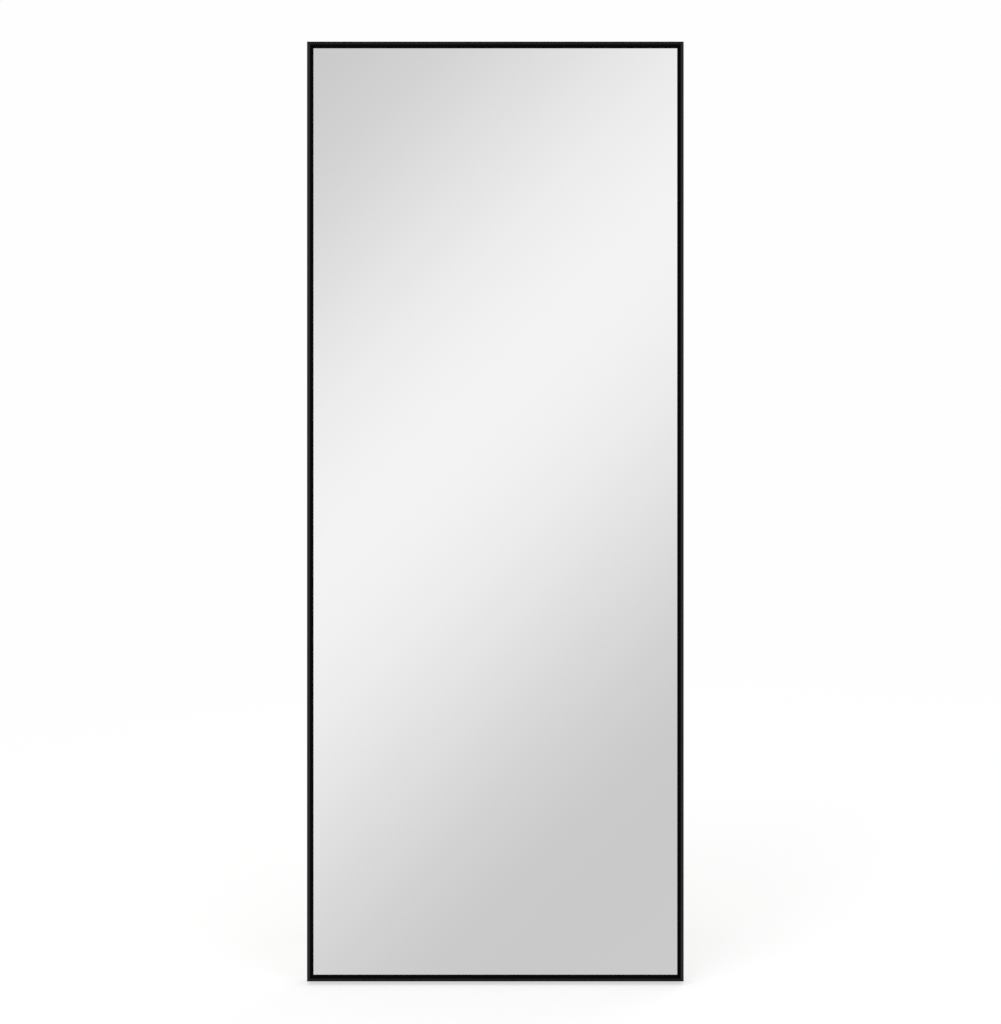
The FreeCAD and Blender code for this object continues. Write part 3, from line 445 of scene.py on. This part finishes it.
# %% Model the buttons
BUTTON_X, BUTTON_RADIUS, BUTTON_TOP, DOME = 200.0, 4.6, DEPTH + 5, 1.2
DIMPLE_EDGE, DIMPLE_DEPTH, DIMPLE_TAPER = 0.8, 0.35, 0.8
nearly_top = (BUTTON_TOP - 0.1) * MM
for side, across in SIDES:
    for row, height in (("bottom", RAIL_MIDDLE), ("top", HEIGHT - RAIL_MIDDLE)):
        button = rod(f"wall_button_{row}_{side}", BUTTON_RADIUS, DEPTH, BUTTON_TOP)
        pick(button, edges=lambda a, b: min(a.z, b.z) > nearly_top)
        bpy.ops.mesh.bevel(offset=DOME * MM, segments=8, profile=0.5)
        pick(button, faces=lambda middle, normal: middle.z > nearly_top and normal.z > 0.99)
        bpy.ops.mesh.inset(thickness=DIMPLE_EDGE * MM)
        push(0, 0, -DIMPLE_DEPTH)
        bpy.ops.transform.resize(value=(DIMPLE_TAPER, DIMPLE_TAPER, 1))
        alone(button)
        seat = Matrix.Translation(Vector((across * BUTTON_X, 0, height)) * MM)
        button.matrix_world = seat @ FROM_BEHIND
        finish_piece(button, LEANING, "mirror", "black_rubber", f"wall_buffer_{row}_{side}")

# %% [markdown]
# ## The setting blocks
# Two rubber blocks in the groove of the bottom rail carry the weight of the glass. A
# real one has soft edges and a hollow underside that lets it give, so the box is
# bevelled all round and its underside is inset and pushed in.

# %% Model the setting blocks
BLOCK_X, BLOCK_HALF, BLOCK_SIDES, BLOCK_HEIGHTS = 160.0, 25.0, (5.5, 14.3), (1.4, 3.4)
BLOCK_EDGE, HOLLOW_WALL, HOLLOW = 0.4, 1.5, 0.5
for side, across in SIDES:
    low, high = [(across * BLOCK_X + way * BLOCK_HALF, y, z)
                 for way, y, z in zip((-1, 1), BLOCK_SIDES, BLOCK_HEIGHTS)]
    carrier = block(f"glass_block_{side}", low, high)
    pick(carrier, edges=lambda a, b: True)
    bpy.ops.mesh.bevel(offset=BLOCK_EDGE * MM, segments=3, profile=0.5)
    pick(carrier, faces=lambda middle, normal: normal.z < -0.99)
    bpy.ops.mesh.inset(thickness=HOLLOW_WALL * MM)
    push(0, 0, HOLLOW)
    finish_piece(carrier, LEANING, "mirror", "black_rubber", f"setting_block_{side}")

# %% [markdown]
# ## The foam sheet
# A thin closed-cell foam between the glass and the board takes up the play. Cloth or a
# puffed cushion would be wrong here: it lies pressed between two flat plates. So it is
# a plain sheet with soft, slightly crushed edges.

# %% Model the foam
FOAM_INSET, FOAM_FRONT, FOAM_BACK, FOAM_EDGE = 4.4, 9.72, 11.38, 0.6
foam = block("foam_sheet", (FOAM_INSET - HALF, FOAM_FRONT, FOAM_INSET),
             (HALF - FOAM_INSET, FOAM_BACK, HEIGHT - FOAM_INSET))
pick(foam, edges=lambda a, b: True)
bpy.ops.mesh.bevel(offset=FOAM_EDGE * MM, segments=4, profile=0.5)
finish_piece(foam, LEANING, "mirror", "grey_foam", "foam_pad")

# %% [markdown]
# ## Moulded, cast and punched pieces with soft edges
# The clip is moulded, the tube's end fittings are cast, and the brackets and hanging
# plates are punched and tumbled before they are coated, so no edge on them is sharp.
# Their CAD shape is right but for that, so drawing them again would be wasted work. A
# CAD node itself is never changed: its mesh is copied, the loose triangles of the copy
# are merged, and its sharp edges are bevelled.

# %% Round the edges of copies
def softened(node, name, width, body, slot):
    """A merged copy of a CAD node with its sharp edges rounded by a width."""
    copy = bpy.data.objects.new(name, nodes[node].data.copy())
    copy.data.materials.clear()
    bpy.context.collection.objects.link(copy)
    whole(copy)
    bpy.ops.mesh.remove_doubles(threshold=2e-6)
    bpy.ops.mesh.dissolve_limited(angle_limit=math.radians(1.5))
    bpy.ops.mesh.select_all(action="DESELECT")
    bpy.context.tool_settings.mesh_select_mode = (False, True, False)
    bpy.ops.mesh.edges_select_sharp(sharpness=math.radians(55))
    bpy.ops.mesh.bevel(offset=width * MM, segments=3, profile=0.5, clamp_overlap=True)
    finish_piece(copy, Matrix(), body, slot, node)


softened("stand_clip", "stand_clip_moulded", 0.35, "mirror", "clip_plastic")
for side, _ in SIDES:
    softened(f"stand_end_{side}", f"stand_end_cast_{side}", 0.35, "stand", "fitting_black")
    softened(f"hinge_bracket_{side}", f"hinge_bracket_coated_{side}", 0.2,
             "mirror", "bracket_black")
    softened(f"keyhole_plate_{side}", f"keyhole_plate_tumbled_{side}", 0.15,
             "mirror", "zinc_plate")

# %% [markdown]
# ## Writing shader maths as expressions
# A material is a small tree of nodes. Linked by hand, each sum in it takes several
# lines. This class wraps an output of a node, so that sums on it are written as Python
# expressions, and the nodes are made behind them.

# %% A wire that can be added and multiplied
class Wire:
    """An output socket of a tree."""

    def __init__(self, tree, socket):
        self.tree = tree
        self.socket = socket

    def maths(self, operation, *values):
        """A Math node on some values or wires."""
        return self.tree.add("ShaderNodeMath", {"operation": operation}, dict(enumerate(values)))

    def __add__(self, other):
        return self.maths("ADD", self, other)

    def __sub__(self, other):
        return self.maths("SUBTRACT", self, other)

    def __rsub__(self, other):
        return self.maths("SUBTRACT", other, self)

    def __mul__(self, other):
        return self.maths("MULTIPLY", self, other)

    __radd__ = __add__
    __rmul__ = __mul__

    def rise(self, low, high):
        """0 below low, 1 above high, smooth between; high may be the smaller one."""
        return self.tree.add("ShaderNodeMapRange", {"interpolation_type": "SMOOTHSTEP"},
                             {"Value": self, "From Min": low, "From Max": high})


# %% [markdown]
# ## Filling a tree
# Every node is added in the same way: from its type, its settings and the values or
# wires of its inputs. One class does that for a material and for the world alike.

# %% A tree of nodes
class Tree:
    """The nodes of one material or of the world."""

    def __init__(self, owner, slot=None):
        owner.use_nodes = True
        self.owner = owner
        self.slot = slot
        self.nodes = owner.node_tree.nodes
        self.links = owner.node_tree.links
        self.nodes.clear()

    def add(self, kind, settings=None, values=None, out=0):
        """A node from its type, its settings and its sockets' values or wires."""
        node = self.nodes.new(kind)
        for key, value in (settings or {}).items():
            if key == "stops":
                self.set_stops(node.color_ramp, value)
            else:
                setattr(node, key, value)
        for key, value in (values or {}).items():
            if isinstance(value, Wire):
                self.links.new(value.socket, node.inputs[key])
            else:
                node.inputs[key].default_value = value
        return Wire(self, node.outputs[out] if node.outputs else None)

    def set_stops(self, ramp, stops):
        """A smooth ramp through pairs of a position and a colour."""
        ramp.interpolation = "CARDINAL"
        while len(ramp.elements) < len(stops):
            ramp.elements.new(1.0)
        for element, (position, colour) in zip(ramp.elements, stops):
            element.position = position
            element.color = (*colour, 1.0)

    def blend(self, factor, first, second):
        """One colour turning into another."""
        values = {0: factor}
        for key, colour in ((6, first), (7, second)):
            values[key] = colour if isinstance(colour, Wire) else (*colour, 1.0)
        return self.add("ShaderNodeMix", {"data_type": "RGBA"}, values, out=2)


# %% [markdown]
# ## Places on a surface
# Patterns read Object coordinates, which are metres on the object as it stands. Where a
# pattern follows the mirror's edges, they are first turned back into its own frame. UV
# coordinates would need an unwrapping of every piece, and would stretch the grain.

# %% Places
def here(tree):
    """Object coordinates."""
    return tree.add("ShaderNodeTexCoord", out=3)


def upright(tree):
    """Object coordinates in the mirror's own frame."""
    back = LEANING.inverted()
    return tree.add("ShaderNodeMapping", None, {
        "Vector": here(tree), "Location": back.translation, "Rotation": back.to_euler()})


def parts(tree, vector):
    """The x, y and z of a vector."""
    split = tree.add("ShaderNodeSeparateXYZ", None, {0: vector}).socket.node
    return [Wire(tree, output) for output in split.outputs]


# %% [markdown]
# ## Grain and surfaces
# Grain is noise whose size is given in metres, so that it is true to the real finish. It
# varies a colour or a roughness, or bends the light as a bump. Real geometry that fine
# would need millions of faces.

# %% Noise, bump and surface
def noise(tree, size, detail=3.0, roughness=0.5, where=None, stretch=None):
    """Grains about size metres across, from 0 to 1."""
    where = where or here(tree)
    if stretch:
        where = tree.add("ShaderNodeMapping", None, {"Vector": where, "Scale": stretch})
    return tree.add("ShaderNodeTexNoise", None, {
        "Vector": where, "Scale": 1 / size, "Detail": detail, "Roughness": roughness})


def bump(tree, height, distance, strength):
    """A normal bent by a height; distance is in metres."""
    return tree.add("ShaderNodeBump", None, {
        "Height": height, "Distance": distance, "Strength": strength})


def surface(tree, colour, roughness, specular=0.5, **others):
    """A Principled shader; the others are its sockets' names, with _ for a space."""
    values = {key.replace("_", " "): value for key, value in others.items()}
    values["Base Color"] = colour if isinstance(colour, Wire) else (*colour, 1.0)
    values.update({"Roughness": roughness, "Specular IOR Level": specular})
    return tree.add("ShaderNodeBsdfPrincipled", None, values)


# %% [markdown]
# ## Dressing
# A finish goes on modelled pieces by their slot and on CAD nodes by their names. Each
# piece has one material, as it is made of one stuff, and only its material slots are
# touched.

# %% Put a finish on pieces
def recipe(slot):
    """The empty tree of a new material for a slot."""
    return Tree(bpy.data.materials.new(slot), slot)


def dress(tree, shader, *names):
    """Finish a material with its shader and give it to what wears it."""
    tree.add("ShaderNodeOutputMaterial", None, {0: shader})
    wearers = [nodes[name] for name in names] + modelled.get(tree.slot, [])
    for piece in wearers:
        piece.data.materials.clear()
        piece.data.materials.append(tree.owner)
    print(tree.slot, "on", len(wearers), "pieces")


# %% [markdown]
# ## Satin black frame
# The rails are extruded aluminium with a fine powder coat. The rim and the sides have a
# satin sheen. The bevel that falls to the glass is a matter black, because powder builds
# up less sheen inside the step, and its deeper, darker black is painted shade. Faces
# could be picked for two materials, but the CAD rails stay as they are, so one material
# tells a point on the bevel by how far it is from the outside of the frame. The
# photograph shows the upright rims a little lighter than the level ones: the level rims
# get painted shade, which gives the mitres their crease, and the nose of the bevel gets a
# hair of painted highlight. A faint grain breaks up the reflection.

# %% Frame finish
tree = recipe("frame_black")
own_x, own_y, own_z = parts(tree, upright(tree))
from_side = HALF * MM - own_x.maths("ABSOLUTE", own_x)
from_end = own_z.maths("MINIMUM", own_z, HEIGHT * MM - own_z)
inset = from_side.maths("MINIMUM", from_side, from_end)
FRONT_ENDS = 0.0004, 0.0012
MITRE = -0.00005, 0.00005
BEVEL_BEGINS = 0.00450, 0.00475
GROOVE_WALL = 0.011, 0.013
# where the painted highlight on the nose of the bevel begins
NOSE_HIGHLIGHT_BEGINS = 0.0092, 0.0099
front = 1 - own_y.rise(*FRONT_ENDS)
# painted shade: a mask of the level rims, which are made darker than the upright ones
level_rim_painted_shade = front * (from_side - from_end).rise(*MITRE)
inner = inset.rise(*BEVEL_BEGINS) * (1 - own_y.rise(*GROOVE_WALL))
# painted highlight: a mask of the nose of the bevel, which is made lighter
nose_painted_highlight = inset.rise(*NOSE_HIGHLIGHT_BEGINS)
grain = noise(tree, 0.0009, detail=4.0)
cloud = noise(tree, 0.12, detail=2.0)
peel = bump(tree, grain, 0.00002, 0.6)
satin = tree.blend(cloud, (0.0125, 0.0125, 0.0128), (0.0155, 0.0155, 0.0158))
# painted shade: the level rims get a darker black than the upright ones
rim_colour_with_painted_shade = tree.blend(level_rim_painted_shade, satin, (0.0045, 0.0045, 0.0046))
# painted shade: the bevel gets a far darker black than the rim, with a painted highlight on its nose
painted_bevel_shade_and_nose_highlight = tree.blend(nose_painted_highlight, (0.0012, 0.0012, 0.0012), (0.012, 0.012, 0.012))
rim_face = surface(tree, rim_colour_with_painted_shade, 0.36 + 0.08 * grain, 0.13, Normal=peel,
                   Coat_Weight=0.45 * (1 - front), Coat_Roughness=0.34)
# the bevel is rougher for real; its colour is painted shade
matt_bevel_with_painted_shade = surface(tree, painted_bevel_shade_and_nose_highlight, 0.7 + 0.1 * grain, 0.03, Normal=peel)
dress(tree, tree.add("ShaderNodeMixShader", None, {0: inner, 1: rim_face, 2: matt_bevel_with_painted_shade}),
      "top_rail", "bottom_rail", "left_rail", "right_rail")

# %% [markdown]
# ## Silvered glass
# A real mirror is clear glass with silver behind it, and could be made of those two
# layers. Seen from the front it is only a reflection, so a metal with a very smooth
# surface is enough and stays clean in the export. A trace of haze, as left by a cloth,
# varies its roughness so faintly that the reflection stays sharp.

# %% Mirror finish
SILVER = 0.9
tree = recipe("mirror_face")
haze = noise(tree, 0.25, detail=5.0, roughness=0.6)
dress(tree, surface(tree, (SILVER,) * 3, 0.006 + 0.012 * haze, Metallic=1.0), "mirror_glass")

# %% [markdown]
# ## Fibreboard
# The back is a 3 mm sheet of bare medium density fibreboard: a warm brown felt of short
# fibres, with lighter and darker flecks a few millimetres long, a few dark specks of
# bark, and soft clouds where the mat was denser. A photograph of board would repeat over
# this length, so the flecks are three sizes of noise. Fine bump lets side light show it.

# %% Board finish
tree = recipe("fibreboard")
own = upright(tree)
fibres = noise(tree, 0.004, detail=6.0, roughness=0.7, where=own, stretch=(1.0, 1.0, 0.6))
specks = noise(tree, 0.0016, detail=2.0, where=own)
clouds = noise(tree, 0.11, where=own)
brown = tree.blend(clouds.rise(0.3, 0.7), (0.345, 0.230, 0.137), (0.385, 0.262, 0.160))
brown = tree.blend(fibres.rise(0.5, 0.68) * 0.42, brown, (0.50, 0.36, 0.235))
brown = tree.blend(fibres.rise(0.5, 0.34) * 0.40, brown, (0.24, 0.15, 0.085))
brown = tree.blend(specks.rise(0.66, 0.74) * 0.7, brown, (0.13, 0.08, 0.045))
felt = bump(tree, fibres + 0.5 * specks, 0.00012, 0.5)
dress(tree, surface(tree, brown, 0.72 + 0.16 * fibres, 0.3, Normal=felt), "back_board")

# %% [markdown]
# ## Rubber
# Moulded rubber is nearly black, with a matt skin that catches a trace of dust. An even
# black would look like a hole in the picture, so noise lifts it here and there.

# %% Rubber finish
tree = recipe("black_rubber")
dust = noise(tree, 0.006, detail=5.0, roughness=0.65)
skin = bump(tree, noise(tree, 0.0005), 0.00003, 0.6)
dress(tree, surface(
    tree, tree.blend(dust.rise(0.35, 0.75), (0.013, 0.013, 0.013), (0.032, 0.031, 0.030)),
    0.62 + 0.2 * dust, 0.35, Normal=skin))

# %% [markdown]
# ## Foam and film
# Both are hidden in the frame, but the export shows them. The foam is a grey sheet full
# of tiny closed cells, which a Voronoi pattern gives. The film that would hold splinters
# is thin and milky; it lies on the silver's dark back, so it needs no transparency.

# %% Foam and film finishes
tree = recipe("grey_foam")
cells = tree.add("ShaderNodeTexVoronoi", None, {"Vector": here(tree), "Scale": 1 / 0.0012})
shade = tree.blend(noise(tree, 0.02), (0.30, 0.30, 0.31), (0.39, 0.39, 0.40))
dress(tree, surface(tree, shade, 0.85 + 0.1 * cells, 0.25, Normal=bump(tree, cells, 0.0002, 0.6)))

tree = recipe("clear_film")
wrinkle = noise(tree, 0.03, detail=4.0)
milky = tree.blend(wrinkle, (0.72, 0.74, 0.75), (0.79, 0.81, 0.82))
dress(tree, surface(
    tree, milky, 0.28 + 0.1 * wrinkle, Normal=bump(tree, wrinkle, 0.0001, 0.4)), "safety_film")

# %% [markdown]
# ## Zinc-plated steel
# The screws, rivets and keyhole plates are steel with bright zinc: a cool silver with
# soft crystalline clouds and fine scratches along the strip they were punched from. They
# differ only in tone and smoothness, so one recipe makes all three.

# %% Zinc finishes
def plated(name, dull, bright, roughness, *names):
    """Zinc on steel, with clouds and faint scratches."""
    tree = recipe(name)
    own = upright(tree)
    crystals = tree.add("ShaderNodeTexVoronoi", None, {"Vector": own, "Scale": 1 / 0.0022}, out=1)
    facets = tree.add("ShaderNodeSeparateColor", None, {0: crystals})
    clouds = noise(tree, 0.006, detail=4.0, where=own)
    scratches = noise(tree, 0.0012, where=own, stretch=(1.0, 1.0, 0.06))
    mixed = (0.16 * facets + 0.84 * clouds).rise(0.25, 0.75)
    dress(tree, surface(
        tree, tree.blend(mixed, dull, bright), roughness + 0.12 * clouds + 0.06 * scratches,
        Metallic=1.0, Normal=bump(tree, scratches, 0.00002, 0.35)), *names)


plated("zinc_screw", (0.52, 0.53, 0.53), (0.68, 0.68, 0.66), 0.2)
plated("zinc_plate", (0.50, 0.51, 0.51), (0.66, 0.66, 0.64), 0.26)
plated("pin_steel", (0.46, 0.46, 0.45), (0.60, 0.60, 0.58), 0.24,
       "pivot_pin_left", "pivot_pin_right")

# %% [markdown]
# ## Cast keys and nylon washers
# The corner keys are die-cast and left grey and grainy. The washers are natural nylon,
# an ivory white that light sinks into a little; without that they would look like chalk.

# %% Casting and nylon finishes
tree = recipe("cast_key")
sand = noise(tree, 0.0009, detail=5.0, roughness=0.65)
cast = tree.blend(sand, (0.5, 0.5, 0.51), (0.68, 0.68, 0.69))
dress(tree, surface(
    tree, cast, 0.45 + 0.15 * sand, Metallic=0.9, Normal=bump(tree, sand, 0.0001, 0.5)),
    *[f"corner_key_{row}_{side}" for row in ("top", "bottom") for side, _ in SIDES])

tree = recipe("white_nylon")
mottle = noise(tree, 0.004)
ivory = tree.blend(mottle, (0.76, 0.74, 0.68), (0.83, 0.81, 0.76))
dress(tree, surface(
    tree, ivory, 0.38 + 0.08 * mottle, Subsurface_Weight=0.15,
    Subsurface_Radius=(0.002, 0.0018, 0.0014), Subsurface_Scale=1.0),
    *[f"pivot_washer_{ring}_{side}" for ring in ("outer", "inner") for side, _ in SIDES])

# %% [markdown]
# ## The black hardware
# Bracket, tube and fittings share a black powder coat, a little coarser than the
# frame's, so that light from the side shows its pebbled skin. The castings under it are
# rougher still. The clip is moulded plastic with a faint spark-eroded texture. All four
# are the same black noise at another size, so one recipe serves them.

# %% Black finishes
def black(name, grain_size, depth, roughness, specular):
    """Black with grains of one size."""
    tree = recipe(name)
    pebbles = noise(tree, grain_size, roughness=0.45)
    clouds = noise(tree, 0.05)
    dress(tree, surface(
        tree, tree.blend(clouds, (0.011, 0.011, 0.0115), (0.018, 0.018, 0.0185)),
        roughness + 0.1 * pebbles, specular, Normal=bump(tree, pebbles, depth, 0.6)))


black("stand_black", 0.0008, 0.00003, 0.36, 0.4)
black("bracket_black", 0.0008, 0.00003, 0.4, 0.4)
black("fitting_black", 0.0011, 0.00006, 0.46, 0.4)
black("clip_plastic", 0.0004, 0.00002, 0.44, 0.5)

# %% [markdown]
# ## The floor
# The photograph has a white ground and no shadow to speak of. The floor is a round
# white sheet that keeps a soft shadow close to the object, turns plain white further
# out and fades away before its edge, so that no line shows in the glass either. A plane
# of paper alone would need far more light to reach this white, and would show its edge.

# %% Floor
def grey(value):
    """A screen grey from 0 to 255 as light, three times."""
    part = value / 255
    light = part / 12.92 if part <= 0.04045 else ((part + 0.055) / 1.055) ** 2.4
    return (light,) * 3


def ray_kinds(tree, *names):
    """1 for rays of these kinds."""
    outputs = tree.add("ShaderNodeLightPath").socket.node.outputs
    wires = [Wire(tree, outputs[f"Is {name} Ray"]) for name in names]
    any_of = wires[0]
    for wire in wires[1:]:
        any_of = any_of.maths("MAXIMUM", any_of, wire)
    return any_of


WHITE = grey(254)
FLOOR_RADIUS = 9.0
TURNS_PLAIN, FADES_OUT = (0.8, 2.4), (2.5, 8.0)
LEAST = 0.64
nothing()
bpy.ops.mesh.primitive_circle_add(vertices=96, radius=FLOOR_RADIUS, fill_type="NGON")
floor = named("studio_floor")
tree = recipe("studio_paper")
reach = tree.add("ShaderNodeVectorMath", {"operation": "LENGTH"}, {0: here(tree)}, out=1)
white = tree.add("ShaderNodeEmission", None, {"Color": (*WHITE, 1.0), "Strength": 1.0})
matt = surface(tree, (0.94, 0.94, 0.94), 0.9, 0.0)
seen = ray_kinds(tree, "Camera", "Glossy", "Transmission")
share = seen * (LEAST + (1 - LEAST) * reach.rise(*TURNS_PLAIN))
sheet = tree.add("ShaderNodeMixShader", None, {0: share, 1: matt, 2: white})
nowhere = tree.add("ShaderNodeBsdfTransparent")
faded = tree.add("ShaderNodeMixShader", None, {
    0: reach.rise(*FADES_OUT), 1: sheet, 2: nowhere})
tree.add("ShaderNodeOutputMaterial", None, {0: faded})
floor.data.materials.append(tree.owner)
print("floor", round(floor.dimensions.x, 2), "m across")

# %% [markdown]
# ## The light that the glass shows
# A mirror shows only its room. The room is white to the camera and an even light to
# matt surfaces. To shiny ones it is a pale grey with broad, soft, sloping bands, as
# from long softboxes. What the camera sees in the glass lies within ten degrees of its
# normal, so the bands are a ramp over the slope of a direction across the glass. Of all
# the bands the glass shows the bright one in the middle, between two darker ones.

# %% World
world = bpy.data.worlds.new("studio")
bpy.context.scene.world = world
tree = Tree(world)
EVEN = (0.72, 0.72, 0.72)
SLOPE = LEANING.to_3x3() @ Vector((0.69, 0, -0.72)).normalized()
BANDS = (
    (-0.95, 218), (-0.7, 202), (-0.46, 228), (-0.28, 221), (-0.145, 202.5), (-0.0275, 242.7),
    (0.1, 200.8), (0.3, 232), (0.5, 236), (0.75, 205), (0.95, 220))
direction = tree.add("ShaderNodeTexCoord")
slide = tree.add(
    "ShaderNodeVectorMath", {"operation": "DOT_PRODUCT"}, {0: direction, 1: SLOPE}, out=1)
stops = [((slope + 1) / 2, tuple(part / SILVER for part in grey(tone))) for slope, tone in BANDS]
bands = tree.add("ShaderNodeValToRGB", {"stops": stops}, {0: 0.5 * slide + 0.5})
unseen = tree.blend(ray_kinds(tree, "Glossy"), EVEN, bands)
room = tree.blend(ray_kinds(tree, "Camera", "Transmission"), unseen, WHITE)
backdrop = tree.add("ShaderNodeBackground", None, {"Color": room, "Strength": 1.0})
tree.add("ShaderNodeOutputWorld", None, {0: backdrop})
print(len(BANDS), "tones in the room")

# %% [markdown]
# ## Lamps
# Three wide softboxes, one in front, one behind and one above, light the object at a
# plain level, so that a colour renders about as it is written. Small lamps would throw
# hard shadows. They are hidden from shiny surfaces, because the bands already stand for
# them there.

# %% Softboxes
AIM = Vector((0, 0, 0.8))


def softbox(name, spot, power, size):
    """A square lamp of a size in metres, aimed at the middle of the object."""
    lamp_data = bpy.data.lights.new(name, "AREA")
    lamp_data.energy = power
    lamp_data.size = size
    lamp = bpy.data.objects.new(name, lamp_data)
    bpy.context.collection.objects.link(lamp)
    lamp.location = spot
    lamp.rotation_euler = (AIM - Vector(spot)).to_track_quat("-Z", "Y").to_euler()
    lamp.visible_glossy = False
    print(name, power, "watts")


softbox("front_softbox", (-2.0, -3.0, 3.4), 46, 2.6)
softbox("rear_softbox", (2.2, 3.0, 3.0), 38, 2.4)
softbox("top_softbox", (0.0, -0.2, 4.4), 57, 3.6)
